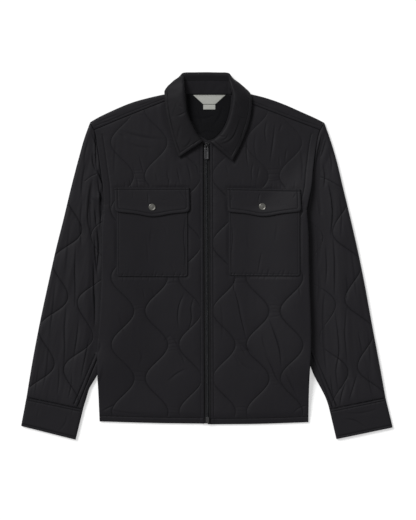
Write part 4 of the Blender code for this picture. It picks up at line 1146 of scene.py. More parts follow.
class Wardrobe:
    """Every finish of the jacket, made once."""

    def __init__(self) -> None:
        """Makes the materials."""
        self.shell = Nylon("quilted_nylon", (0.0080, 0.0074, 0.0091), (0.0102, 0.0095, 0.0116)).make()
        self.plain = Nylon("plain_nylon", (0.0080, 0.0075, 0.0091), (0.0102, 0.0095, 0.0116),
                           crinkle=0.00012).make()
        self.sleeves = {side: Nylon(f"sleeve_nylon_{side.value}", (0.0088, 0.0082, 0.0099),
                                    (0.0112, 0.0105, 0.0127), turn=side.sign * 0.2).make()
                        for side in Side}
        self.collar = Nylon("collar_nylon", (0.0060, 0.0056, 0.0068), (0.0078, 0.0073, 0.0088),
                            crinkle=0.00012).make()
        self.lining = Woven("neck_lining_weave", (0.0034, 0.0034, 0.0040), (0.0050, 0.0050, 0.0060),
                            0.0006, 0.0006, 0.00006, sheen=0.0, specular=0.05).make()
        self.label = Woven("label_weave", (0.28, 0.284, 0.262), (0.38, 0.384, 0.356),
                           0.00055, 0.0004, 0.00008).make()
        self.tape = Woven("zip_tape_weave", (0.0052, 0.0052, 0.0058), (0.0100, 0.0100, 0.0108),
                          0.0012, 0.0009, 0.00018).make()
        self.teeth = Moulded("zip_teeth_plastic", (0.0074, 0.0079, 0.0096), (0.0150, 0.0160, 0.0192)).make()
        self.zip_metal = PlatedMetal("zip_gunmetal", (0.019, 0.019, 0.020), (0.032, 0.032, 0.033),
                                     0.36).make()
        self.pull_metal = PlatedMetal("zip_pull_metal", (0.046, 0.046, 0.048), (0.074, 0.074, 0.077),
                                      0.40).make()
        self.stud_metal = PlatedMetal("stud_gunmetal", (0.122, 0.120, 0.109), (0.196, 0.193, 0.178),
                                      0.34).make()
        self.pale_metal = PlatedMetal("pin_box_metal", (0.045, 0.045, 0.046), (0.085, 0.085, 0.087),
                                      0.40).make()
        self.thread = Thread("black_thread", (0.0060, 0.0060, 0.0068), (0.0110, 0.0110, 0.0122)).make()
        self.ground = Ground("pale_floor", 0.62).make()


# ---------------------------------------------------------------- the body's form
@dataclass
class BodyForm:
    """Thicknesses and heights that the pieces of the body share."""

    gap: float = 0.3
    back_wall: float = 5.0
    hem_wall: float = 3.0
    slit: float = 0.5
    front_wall: float = 4.0
    puff: float = 2.1
    seam_z: float = 9.5
    edge_wall: float = 1.6
    roll: float = 6.0
    front_roll: float = 3.0
    lift_height: float = 8.0
    left_lift_height: float = 12.6
    soft_width: float = 118.0
    quilt_step: float = 72.5
    quilt_wave: float = 24.3
    quilt_period: float = 145.0
    quilt_phase: float = -118.5
    zip_half: float = 6.9
    placket: float = 6.4
    neck_y: float = 238.6
    yoke_end_y: float = 271.3
    yoke_back_y: float = 205.0
    hem_band: float = 12.0
    arm_band: float = 15.0

    def zip_x(self, y: Array | float) -> Array:
        """The closure's centre line."""
        return -1.1 + 2.3 * (self.neck_y - np.asarray(y, float)) / 600.0

    def side_x(self, side: Side, y: Array | float) -> Array:
        """How far out the body's edge lies, or the armhole above it."""
        y = np.asarray(y, float)
        return np.where(y < UNDERARM_Y, BODY_SIDE.read(side, y), ARMHOLE.read(side, y))

    def tucked_x(self, side: Side, y: Array) -> Array:
        """How far out the sleeve's fold lies under the body, moved off above the armhole."""
        return SLEEVE_INNER.read(side, np.minimum(y, UNDERARM_Y)) + 0.9 * np.maximum(0.0, y - UNDERARM_Y)

    def lift(self, side: Side, x: Array, y: Array, width: float = 26.0) -> Array:
        """How high the body's underside rides over the sleeve tucked below it."""
        reach = np.abs(x) - self.tucked_x(side, y) + 3 + width
        full = self.left_lift_height if side is Side.LEFT else self.lift_height
        return full * smoothstep(reach / width)

    def padding(self, side: Side, x: Array, y: Array) -> Array:
        """What fills the front out, so that it rises more softly than the back below it."""
        soft = self.lift(side, x, y, self.soft_width) * smoothstep((y + 350.0) / 130.0)
        return np.maximum(0.0, soft - self.lift(side, x, y))

    def side_room(self, side: Side, x: Array, y: Array) -> Array:
        """Distance in from the rolled side edge, large beside the armhole."""
        return self.side_x(side, y) - np.abs(x) + np.maximum(0.0, y - 92) * 0.8

    def hem_room(self, side: Side, x: Array, y: Array) -> Array:
        """Distance up from the hem."""
        return y - HEM.read(side, np.abs(x))

    def both(self, x: Array, right: Array, left: Array) -> Array:
        """Values of the side that each point lies on."""
        return np.where(x < 0, right, left)

    def wall(self, side: Side, x: Array, y: Array, full: float) -> Array:
        """A wall that thins towards the hem."""
        return self.hem_wall + (full - self.hem_wall) * smoothstep(self.hem_room(side, x, y) / 26)

    def back_top(self, x: Array, y: Array) -> Array:
        """Inside of the back."""
        return self.both(x, *(self.lift(s, x, y) + self.wall(s, x, y, self.back_wall) for s in Side))

    def back_bottom(self, x: Array, y: Array) -> Array:
        """Outside of the back, flat on the floor and rolled up at the sides."""
        return self.both(x, *(self.lift(s, x, y) + bullnose(
            self.side_room(s, x, y), self.roll, self.wall(s, x, y, self.back_wall) - self.edge_wall)
            for s in Side))

    def front_inside(self, x: Array, y: Array) -> Array:
        """Inside of a front: plain, just above the back."""
        return self.back_top(x, y) + self.slit

    def wave(self, y: Array) -> Array:
        """Swing of a stitch line of the body, 1 at its phase."""
        return np.cos(2 * math.pi * (np.asarray(y, float) - self.quilt_phase) / self.quilt_period)

    def quilt_x(self, k: int, y: Array) -> Array:
        """Distance of stitch line k from the closure's centre."""
        sign = -1 if k % 2 == 0 else 1
        return (k + 0.5) * self.quilt_step + sign * self.quilt_wave * self.wave(y)

    def side_edge(self, side: Side) -> Array:
        """The body's edge in plan, hem to armhole."""
        low = float(HEM.read(side, self.side_x(side, -355)))
        ys = np.linspace(low, UNDERARM_Y, 90)
        return side.run(self.side_x(side, ys), ys)

    def arm_edge(self, side: Side, top: float) -> Array:
        """The body's armhole edge in plan, underarm to a height."""
        ys = np.array([y for y in ARM_LOW_YS + ARM_HIGH_YS if y < top - 1] + [top])
        return side.run(self.side_x(side, ys) - self.gap / 2, ys)

    def hem_edge(self, side: Side, start: float, end: float) -> Array:
        """The hem in plan between two distances from the centre."""
        xs = np.linspace(start, end, 30)
        return side.run(xs, HEM.read(side, xs))


def quilt_rise(distances: Iterable[Array], soft: float = 11.0, crisp: float = 1.5,
               share: float = 0.26) -> Array:
    """The padding's rise, 0 to 1, from the distances to what holds it down."""
    out = 1.0
    for distance in distances:
        d = np.abs(distance)
        out = out * (1 - (1 - share) * np.exp(-d / soft) - share * np.exp(-d / crisp))
    return out


@dataclass(frozen=True)
class Station:
    """One place round the neck: the collar's roll and free edge in plan, and its back corner's bulge."""

    roll: Point
    edge: Point
    bulge: float = 0.0


COLLAR = {
    Side.RIGHT: tuple(Station(*row) for row in (
        ((8.9, 245.6), (60.3, 211.4)), ((21.0, 259.0), (67.6, 229.5)), ((34.5, 283.5), (76.2, 257.0)),
        ((43.0, 303.2), (83.0, 284.0)), ((46.8, 327.0), (89.2, 316.0)), ((48.6, 349.0), (90.9, 345.0)),
        ((50.5, 369.0), (90.8, 354.5), 7.2), ((51.0, 383.0), (76.0, 358.0), 9.2),
        ((52.8, 393.4), (51.5, 358.5)), ((47.0, 394.9), (47.6, 358.5)), ((28.0, 395.3), (30.0, 358.5)))),
    Side.LEFT: tuple(Station(*row) for row in (
        ((6.9, 245.2), (54.7, 203.6)), ((20.0, 252.4), (63.6, 220.5)), ((36.5, 269.5), (75.4, 245.5)),
        ((48.0, 294.0), (87.3, 276.5)), ((54.4, 322.0), (94.9, 309.5)), ((56.4, 345.0), (95.6, 339.0)),
        ((53.4, 364.0), (90.2, 352.4), 4.0), ((49.4, 378.5), (74.0, 358.2), 6.8),
        ((47.4, 393.1), (47.0, 358.5)), ((42.4, 394.7), (43.0, 358.5)), ((26.0, 395.1), (28.0, 358.5)))),
}


def leaf_outline(side: Side) -> Array:
    """Plan of the collar's leaf on one side."""
    rows = COLLAR[side][:7]
    rolls = [(side.sign * row.roll[0], row.roll[1]) for row in rows]
    edges = [(side.sign * row.edge[0], row.edge[1]) for row in reversed(rows)]
    return chain([np.array(rolls + edges)])


@dataclass
class Sewn:
    """What is sewn: it follows the body's form, and has finishes and a thread."""

    form: BodyForm
    wardrobe: Wardrobe
    thread: Stitching


# ---------------------------------------------------------------- pockets
POCKETS = {
    Side.RIGHT: ((193.6, 95.0), (193.5, -40.6), (190.2, -44.2), (44.5, -45.1), (41.2, -41.5),
                 (41.4, 94.7), (41.4, 139.5), (193.7, 139.5)),
    Side.LEFT: ((199.3, 95.2), (199.6, -40.0), (196.4, -43.6), (49.4, -42.6), (46.4, -39.0),
                (46.6, 94.9), (46.4, 138.5), (198.4, 137.0)),
}
FLAPS = {
    Side.RIGHT: ((198.6, 147.0), (197.0, 99.6), (193.6, 95.0), (155.0, 90.3), (116.0, 84.2),
                 (76.0, 90.4), (41.4, 94.7), (36.6, 99.6), (37.8, 147.2)),
    Side.LEFT: ((200.3, 143.4), (202.0, 99.7), (199.3, 95.2), (161.0, 90.5), (120.4, 84.4),
                (84.0, 90.6), (46.6, 94.9), (43.9, 99.2), (43.0, 146.4)),
}
STUD_AT = {Side.RIGHT: (117.7, 104.8), Side.LEFT: (118.8, 105.8)}
POCKET_FOLDS = {
    Side.RIGHT: folds(
        (0.5, 2.6, -130, 34, -128, 10, -127, -16), (0.35, 4.0, -120, 60, -123, 20),
        (1.0, 3.0, 0.3, -47, 80, -50, 40, -47, 5, -49, -30), (0.5, 1.8, -80, -14, -74, -26, -70, -43),
        (0.4, 2.6, -105, 78, -92, 62, -86, 48)),
    Side.LEFT: folds(
        (0.7, 2.2, 117, 8, 113, -14, 109, -38), (0.5, 1.8, 121, -26, 118, -43),
        (0.8, 2.8, 0.3, 52, 78, 55, 40, 52, 0, 54, -32), (0.35, 4.0, 150, 70, 146, 30),
        (0.3, 4.5, 85, 50, 90, 15)),
}
FLAP_FOLDS = {
    Side.RIGHT: folds(
        (0.9, 1.8, 0.2, -128, 135, -126.5, 124, -127, 113), (0.7, 1.6, -60, 139, -52, 130, -46, 121),
        (0.5, 1.5, -66, 139, -60, 130), (0.6, 1.6, -190, 138, -186, 126), (0.4, 1.8, -160, 137, -158, 126),
        (0.35, 2.4, -104, 126, -96, 121, -84, 120)),
    Side.LEFT: folds(
        (0.9, 1.8, 0.2, 114, 135, 111, 125, 110, 114), (0.6, 1.6, 50, 138, 54, 129, 52, 118),
        (0.7, 1.6, 190, 134, 184, 124), (0.4, 2.0, 150, 120, 158, 112, 166, 106),
        (0.4, 1.8, 84, 134, 86, 124)),
}


@dataclass
class Pocket(Sewn):
    """A patch pocket, its flap and its press stud, stacked on a front."""

    side: Side
    wall: float = 2.0
    flap_wall: float = 2.6
    crown: float = 1.2
    stitch_in: float = 4.6
    flap_stitch_in: float = 7.0

    def corners(self) -> tuple[Array, Array]:
        """Corners of the pocket and of the flap."""
        return self.side.place(POCKETS[self.side]), self.side.place(FLAPS[self.side])

    def flap_edges(self, inset: float = 0.0) -> list[Array]:
        """The flap's runs: outer side, lower edge in one soft curve, inner side and top."""
        rows = self.corners()[1]
        rows = offset_line(rows, -self.side.sign * inset) if inset else rows
        low = [rows[1] + (0.0, 1.5), (rows[1] + rows[2]) / 2, rows[2] * (0.994, 1.0), *rows[3:6],
               rows[6] * (1.012, 1.0), (rows[6] + rows[7]) / 2, rows[7] + (0.0, 1.5)]
        return [np.array([rows[0], low[0]]), smooth_line(low, 60), np.array([low[-1], rows[8]]),
                np.array([rows[8], rows[0]])]

    def held(self, x: Array, y: Array) -> Array:
        """Distance from what the pocket and flap press down, negative under them."""
        return np.minimum(*(edge_distance(chain([corners]), x, y) for corners in self.corners()))

    def crown_at(self, x: Array, y: Array) -> Array:
        """How the pocket's middle stands up."""
        rows = POCKETS[self.side]
        middle = self.side.sign * (rows[0][0] + rows[4][0]) / 2
        across = np.maximum(0.0, 1 - (np.abs(x - middle) / 78) ** 2)
        return self.crown * across * np.maximum(0.0, 1 - (np.abs(y - 48) / 95) ** 2)

    def build(self, under: Height) -> list[Object]:
        """Makes the pocket, the flap and the stud.

        Args:
            under: Height of the front below.

        Returns:
            The pieces.
        """
        side, sign, name, gap = self.side, self.side.sign, self.side.value, self.form.gap
        seed, cloth = 40 + int(sign), self.wardrobe.plain
        corners, flap_corners = self.corners()
        drift = Ripple(seed)

        def patch_form(x: Array, y: Array) -> Array:
            """The pocket's smooth top."""
            return under(x, y) + gap + self.wall + self.crown_at(x, y)

        def flap_form(x: Array, y: Array) -> Array:
            """The flap's smooth top, which stands off towards its tip."""
            stands = 1.1 * smoothstep((108 - y) / 18)
            return patch_form(x, y) + gap + self.flap_wall + 0.2 + stands

        sewn = offset_line(corners[:6], -sign * self.stitch_in)
        puckers = fringe(corners[2:4][::-int(sign)], 10.0, 12.0, 0.95, 1.7, 0.35, seed + 3)
        patch = Surface(patch_form, [Seam(sewn, 0.35, 0.7, 0.16, 4.0, 5.0, seed)],
                        [*POCKET_FOLDS[side], *puckers],
                        [Roll(edge, 1.8, 1.5) for edge in straight_runs(corners)[:6]],
                        lambda x, y: 0.20 * drift.at(x / 30, y / 42) + 0.05 * drift.at(x / 9 + 40, y / 17))
        patch_piece = Panel(f"pocket_{name}_cloth", straight_runs(corners), patch,
                            lambda x, y: under(x, y) + gap, cloth, 1.9, 12.0).build()
        around = np.vstack(self.flap_edges(self.flap_stitch_in)[:3])
        fold = flap_corners[[0, -1]] - (0.0, 4.6)
        puckers = fringe(fold[::-int(sign)], 17.0, 12.0, 0.35, 1.6, 0.1, seed)
        flap = Surface(flap_form, [Seam(around, 0.8, 0.8, 0.2, 4.0, 5.0, seed + 1),
                                   Seam(resample(fold, 4.0), 1.1, 0.85, 0.2, 4.0, 5.0, seed + 2)],
                       [*FLAP_FOLDS[side], *puckers], [Roll(edge, 2.2, 2.0) for edge in self.flap_edges()],
                       lambda x, y: 0.12 * drift.at(x / 21 + 9, y / 15))
        flap_piece = Panel(f"flap_{name}_cloth", self.flap_edges(), flap,
                           lambda x, y: patch_form(x, y) + gap, cloth, 1.8, 12.0).build()
        self.thread.sew_on(patch, [sewn])
        self.thread.sew_on(flap, [around, fold])
        spot = side.place([STUD_AT[side]])
        return [declare(patch_piece, f"pocket_{name}", "plain_shell", f"front_{name}_cloth",
                        outline=chain([corners])),
                declare(flap_piece, f"flap_{name}", "plain_shell", f"pocket_{name}_cloth",
                        outline=chain([flap_corners])),
                self.stud((*spot[0], float(flap_form(*spot.T)[0]) + 0.15))]

    def stud(self, centre: Triple) -> Object:
        """Cap of the press stud: a rolled rim round a shallow dish with a low middle.

        Args:
            centre: Foot of its axis.

        Returns:
            The stud.
        """
        profile = [(0.0, 0.0), (6.9, 0.0), (7.3, 0.25), (7.5, 0.75), (7.5, 1.25), (7.38, 1.75), (7.1, 2.15),
                   (6.7, 2.42), (6.25, 2.5), (5.85, 2.42), (5.55, 2.2), (5.3, 1.98), (4.9, 1.9), (4.0, 2.0),
                   (3.0, 2.1), (1.6, 2.2), (0.6, 2.23), (0.0, 2.24)]
        piece = turned(f"snap_{self.side.value}_cap", profile, centre, 56, self.wardrobe.stud_metal)
        return declare(piece, f"snap_{self.side.value}", "snap_metal")


# ---------------------------------------------------------------- fronts and back
FRONT_FOLDS = {
    Side.RIGHT: folds(
        (1.5, 2.6, 0.3, -50, -82, -60, -106, -63, -132, -61, -152),
        (1.4, 2.4, -0.2, -29, -90, -34, -112, -33, -136, -40, -160),
        (1.0, 3.0, -80, -172, -70, -180, -60, -197), (0.7, 3.0, -92, -182, -78, -168),
        (0.7, 2.6, -62, -206, -54, -216, -48, -232), (0.9, 4.5, 0.3, -47, -243, -64, -252, -84, -268),
        (1.2, 2.6, -226, -333, -212, -326, -198, -319), (0.8, 4.2, -212, -330, -176, -337, -128, -341),
        (0.8, 2.6, -146, 213, -141, 196, -136, 178), (0.8, 2.4, -187, 262, -176, 254),
        (0.9, 6.5, 0.3, -185, 268, -140, 256, -95, 250), (0.5, 5.0, -170, 244, -150, 236, -118, 232),
        (0.9, 2.4, -44, 200, -38, 182, -35, 162), (0.9, 2.2, -65, 189, -61, 172, -58, 157),
        (0.7, 2.4, -86, 186, -84, 168, -78, 154), (0.7, 2.2, -30, 205, -22, 192, -19, 176),
        (0.7, 2.2, -118, -71, -114, -90), (0.6, 2.0, -138, -71, -134, -92),
        (0.5, 3.0, -160, 200, -156, 180, -150, 160), (0.6, 2.4, -112, 178, -106, 160),
        (0.5, 4.0, -196, 250, -199, 214, -200, 176), (0.5, 6.0, -190, -120, -176, -170),
        (0.5, 5.0, -150, -190, -140, -214, -146, -236)),
    Side.LEFT: folds(
        (1.7, 2.8, 0.3, 57, -67, 66, -96, 72, -127, 79, -156, 84, -178),
        (1.8, 3.0, -0.3, 134, -135, 146, -168, 156, -202, 160, -242),
        (1.3, 3.0, 62, -181, 82, -196, 101, -217), (0.6, 2.4, 70, -192, 84, -214),
        (1.1, 4.0, 66, -220, 84, -238, 106, -250), (0.6, 3.0, 58, -214, 70, -232),
        (1.4, 3.0, 0.2, 124, -211, 138, -236, 147, -258, 164, -283),
        (1.3, 3.2, 168, -249, 180, -274, 195, -302), (0.6, 3.0, 176, -236, 190, -262),
        (1.0, 2.6, 183, -340, 196, -328, 214, -322, 216, -332), (0.7, 4.0, 118, -166, 122, -190, 132, -212),
        (1.3, 2.2, 86, 250, 85, 222, 88, 196), (1.0, 2.2, 99, 200, 96, 180, 97, 162),
        (1.0, 2.4, 128, 289, 125, 268, 127, 245), (1.2, 3.0, 146, 286, 142, 246, 136, 204),
        (0.9, 2.2, 161, 284, 157, 275, 155, 266), (0.9, 2.0, 155, 214, 156, 194),
        (0.8, 2.2, 171, 230, 169, 216, 168, 204), (0.6, 3.2, 104, 262, 102, 232, 108, 204),
        (0.7, 2.4, 112, 190, 108, 168), (0.5, 3.6, 30, -100, 33, -140, 32, -180),
        (0.9, 2.0, 58, -50, 57, -78), (0.5, 3.0, 60, 230, 58, 196),
        (0.5, 5.0, 140, -82, 158, -100, 170, -122), (0.5, 2.6, 40, 196, 46, 176),
        (0.5, 4.0, 200, 236, 205, 196, 204, 160), (0.6, 2.2, 196, -60, 199, -84)),
}


@dataclass
class Front(Sewn):
    """One front with its placket, quilting and pocket."""

    side: Side
    neck_clear: float = 3.6

    def edges(self) -> dict[str, Array]:
        """The runs of the outline by name, head to tail from the top of the closure."""
        form, side = self.form, self.side
        sign = side.sign
        ys = np.linspace(form.neck_y, float(HEM.read(side, 0)), 30)
        centre = np.column_stack([form.zip_x(ys) + sign * form.zip_half, ys])
        low = form.side_edge(side)
        hem = form.hem_edge(side, abs(centre[-1][0]), abs(low[0][0]))
        hem[0], hem[-1] = centre[-1], low[0]
        arm = form.arm_edge(side, form.yoke_end_y - form.gap / 2)
        neck = []
        for row in COLLAR[side][:6]:
            out = np.subtract(row.edge, row.roll)
            neck.append(row.roll + self.neck_clear * out / np.linalg.norm(out))
        neck = side.place(neck)
        seam_end = float(YOKE_SEAM.read(side, abs(neck[-1][0])))
        xs = np.linspace(abs(arm[-1][0]), abs(neck[-1][0]), 30)
        seam = side.run(xs, YOKE_SEAM.read(side, xs) - form.gap / 2)
        seam[0] = arm[-1]
        rest = [point for point in neck[1:] if point[1] < seam_end - 8]
        neckline = smooth_line([centre[0], *rest, seam[-1]], 60)
        neckline[0], neckline[-1] = centre[0], seam[-1]
        return {"centre": centre, "hem": hem, "side": low, "arm": arm, "seam": seam,
                "neck": neckline[::-1]}

    def quilt_lines(self, pocket: Pocket) -> list[Array]:
        """The stretches of quilting stitch that show."""
        form, side = self.form, self.side
        leaf = leaf_outline(side)
        rolls = np.array([row.roll for row in COLLAR[side][:9]])
        out = []
        for k in range(3):
            ys = np.arange(-346, 345, 1.5)
            xs = form.zip_x(ys) + side.sign * form.quilt_x(k, ys)
            keep = form.quilt_x(k, ys) > form.zip_half + form.placket + 0.4
            keep &= form.hem_room(side, xs, ys) > form.hem_band + 0.6
            keep &= YOKE_SEAM.read(side, np.abs(xs)) - ys > 1.5
            keep &= pocket.held(xs, ys) > 0.6
            keep &= edge_distance(leaf, xs, ys) > -6
            keep &= np.abs(xs) > np.interp(ys, rolls[:, 1], rolls[:, 0], left=0.0)
            keep &= form.side_x(side, ys) - np.abs(xs) > np.where(ys > UNDERARM_Y, form.arm_band + 0.8, 6.0)
            out += runs(np.column_stack([xs, ys]), keep)
        return out

    def surface(self, pocket: Pocket) -> Surface:
        """The front's outside."""
        form, side = self.form, self.side
        sign = side.sign
        leaf = leaf_outline(side)
        seed = 11 + int(sign)

        def outside(x: Array, y: Array) -> Array:
            """The front's smooth form, padded between its seams."""
            from_zip = np.abs(x - form.zip_x(y))
            tilt = form.quilt_wave * 2 * math.pi / form.quilt_period * np.sqrt(
                np.maximum(0.0, 1 - form.wave(y) ** 2))
            held = [(from_zip - form.quilt_x(k, y)) / np.hypot(1, tilt) for k in range(4)]
            held += [np.maximum(0.0, room) for room in (
                from_zip - form.zip_half - form.placket, form.hem_room(side, x, y) - form.hem_band,
                YOKE_SEAM.read(side, np.abs(x)) - y - 2)]
            arm = np.maximum(0.0, form.side_x(side, np.maximum(y, UNDERARM_Y)) - np.abs(x) - 14)
            held.append(np.where(y > 80, arm + 0.9 * np.maximum(0.0, 110 - y), 90.0))
            rise = form.puff * (1 - 0.35 * smoothstep((y - 110) / 90)) * quilt_rise(held)
            free = smoothstep(pocket.held(x, y) / 7)
            open_air = smoothstep((edge_distance(leaf, x, y) - 1) / 12)
            rise = (0.8 + (rise - 0.8) * free) * open_air + 0.4 * (1 - open_air)
            ridge = 0.9 * smoothstep((form.zip_half + form.placket - from_zip) / 1.5 + 1)
            wall = form.wall(side, x, y, form.front_wall)
            room = wall + rise - form.edge_wall
            return (form.front_inside(x, y) + form.padding(side, x, y) + wall + rise + ridge
                    - bullnose(form.side_room(side, x, y), form.front_roll, room))

        ripple = Ripple(seed)

        def ruffle(x: Array, y: Array) -> Array:
            """The front's unevenness, none under the pocket."""
            loose = smoothstep((pocket.held(x, y) - 2) / 14)
            upper = smoothstep((y - 120) / 40)
            broad = 0.30 * ripple.at(x / 48, y / 66)
            upright = (0.07 + 0.09 * upper) * ripple.at(x / 9.0, y / 46.0 + 20)
            fine = 0.045 * ripple.at(x / 5.0 + 7, y / 8.0)
            return loose * (broad + upright + fine)

        edges = self.edges()
        ys = np.linspace(-346.5, 234, 90)
        placket = [np.column_stack([form.zip_x(ys) + sign * (form.zip_half + inset), ys])
                   for inset in (form.placket, 1.9)]
        xs = np.linspace(form.zip_half + 3, float(form.side_x(side, -340)) - 2, 60)
        hem = side.run(xs, HEM.read(side, xs) + form.hem_band)
        ys = np.linspace(101, 262, 60)
        band = side.run(form.side_x(side, ys) - form.arm_band, ys)
        quilting = self.quilt_lines(pocket)
        faint = 0.30 if side is Side.LEFT else 0.55

        def fade(x: Array, y: Array) -> Array:
            """How strongly the quilting shows: less on the chest."""
            chest = smoothstep((y - 110) / 90)
            uneven = 0.85 + 0.3 * ripple.at(x / 46 + 3, y / 58 + 11)
            return uneven * (1 - (1 - faint) * chest)

        seams = [Seam(line, 0.72, 0.68, 0.2, 5.0, 6.0, seed + 20 + k, fade)
                 for k, line in enumerate(quilting)]
        for k, (line, row) in enumerate((
                (placket[0], (1.1, 0.8, 0.24, 5.0, 5.0)), (placket[1], (0.5, 0.7, 0.08, 2.5, 5.0)),
                (hem, (1.2, 0.9, 0.28, 5.0, 6.0)), (band, (0.9, 0.9, 0.2, 5.0, 6.0)))):
            seams.append(Seam(line, *row, seed + 1 + k))
        creases = list(FRONT_FOLDS[side]) + self.neck_puckers(seed)
        way = -int(sign)
        corners, flap_corners = pocket.corners()
        for k, (line, row) in enumerate((
                (flap_corners[[0, -1]][::way], (12.0, 15.0, 0.55, 1.9, 0.0)),
                (placket[0][::-way], (19.0, 9.0, 0.4, 1.6, 0.3)),
                (hem[::-way], (21.0, 10.0, 0.45, 1.8, 0.2)),
                (edges["seam"][::way][10:], (16.0, 12.0, 0.4, 2.0, 0.1)),
                (corners[2:4][::-way], (15.0, 11.0, 0.5, 1.8, 0.2)))):
            creases += fringe(line, *row, seed + 5 + k)
        rolls = [Roll(edges[key], width, drop) for key, width, drop in (
            ("centre", 1.8, 1.6), ("hem", 2.6, 1.7), ("seam", 2.0, 1.2), ("arm", 2.0, 1.2))]
        return Surface(outside, seams, creases, rolls, ruffle)

    def neck_puckers(self, seed: int) -> list[Crease]:
        """Short cross folds where two quilting lines come close."""
        form, draw, out = self.form, np.random.default_rng(seed), []
        for k in range(2):
            start = -336.0 if k % 2 == 0 else -263.5
            for y0 in np.arange(start, 330, form.quilt_period):
                near, far = (float(form.quilt_x(j, y0)) for j in (k, k + 1))
                for n in range(4):
                    y = y0 + (n - 1.5) * 8.0 + draw.uniform(-2.5, 2.5)
                    tip = draw.uniform(-4, 4)
                    a, b = near - draw.uniform(0, 7), far + draw.uniform(0, 7)
                    line = tuple((float(form.zip_x(y)) + self.side.sign * x, y + dy)
                                 for x, dy in ((a, 0.0), ((a + b) / 2, 1.2), (b, tip)))
                    out.append(Crease(line, draw.uniform(0.25, 0.6), draw.uniform(1.5, 2.2)))
        return out

    def build(self) -> list[Object]:
        """Makes the front and what is sewn on it."""
        name = self.side.value
        pocket = Pocket(self.form, self.wardrobe, self.thread, self.side)
        surface = self.surface(pocket)
        panel = Panel(f"front_{name}_cloth", list(self.edges().values()), surface,
                      self.form.front_inside, self.wardrobe.shell, 1.9, 9.0)
        piece = declare(panel.build(), f"front_{name}", "quilted_shell", "back_cloth",
                        outline=panel.outline())
        self.thread.sew_on(surface, [seam.line for seam in surface.seams])
        return [piece, *pocket.build(surface.form)]


@dataclass
class Back(Sewn):
    """The back panel, its quilting pressed nearly flat on the floor."""

    hem_y: float = -359.4

    def build(self) -> Object:
        """Makes the back."""
        form = self.form
        low = {side: form.side_edge(side) for side in Side}
        arm = {side: form.arm_edge(side, form.yoke_back_y - form.gap) for side in Side}
        hem = {side: form.hem_edge(side, 0.0, abs(low[side][0][0])) for side in Side}
        for side in Side:
            hem[side][0], hem[side][-1] = (0.0, self.hem_y), low[side][0]
        top = np.array([arm[Side.LEFT][-1], arm[Side.RIGHT][-1]])
        edges = [hem[Side.LEFT], low[Side.LEFT], arm[Side.LEFT], top, arm[Side.RIGHT][::-1],
                 low[Side.RIGHT][::-1], hem[Side.RIGHT][::-1]]
        quilting = []
        for side in Side:
            for k in range(3):
                ys = np.arange(-346, 203, 2.0)
                xs = side.sign * (form.quilt_x(k, ys) - 0.6)
                keep = (form.hem_room(side, xs, ys) > form.hem_band) & (ys < 202)
                keep &= form.side_x(side, ys) - np.abs(xs) > 12
                quilting += runs(np.column_stack([xs, ys]), keep)
        under = Surface(form.back_bottom, [Seam(line, -0.9, 1.6, 0.0, 3.0) for line in quilting])
        panel = Panel("back_cloth", edges, Surface(form.back_top), form.back_bottom,
                      self.wardrobe.shell, 9.0, 4.0, (1.2, 4.0, 8.0), 2.4, under=under)
        return declare(panel.build(), "back", "quilted_shell", "floor", outline=panel.outline())


# ---------------------------------------------------------------- yoke
YOKE_FOLDS = folds(
    (0.5, 2.6, -236, 288, -214, 297, -190, 306), (0.4, 3.0, -150, 322, -120, 333),
    (0.5, 2.6, 228, 291, 212, 300, 180, 314), (0.4, 3.0, 150, 322, 122, 334),
    (0.4, 2.0, -222, 288, -205, 290), (0.4, 2.0, 214, 289, 196, 293))


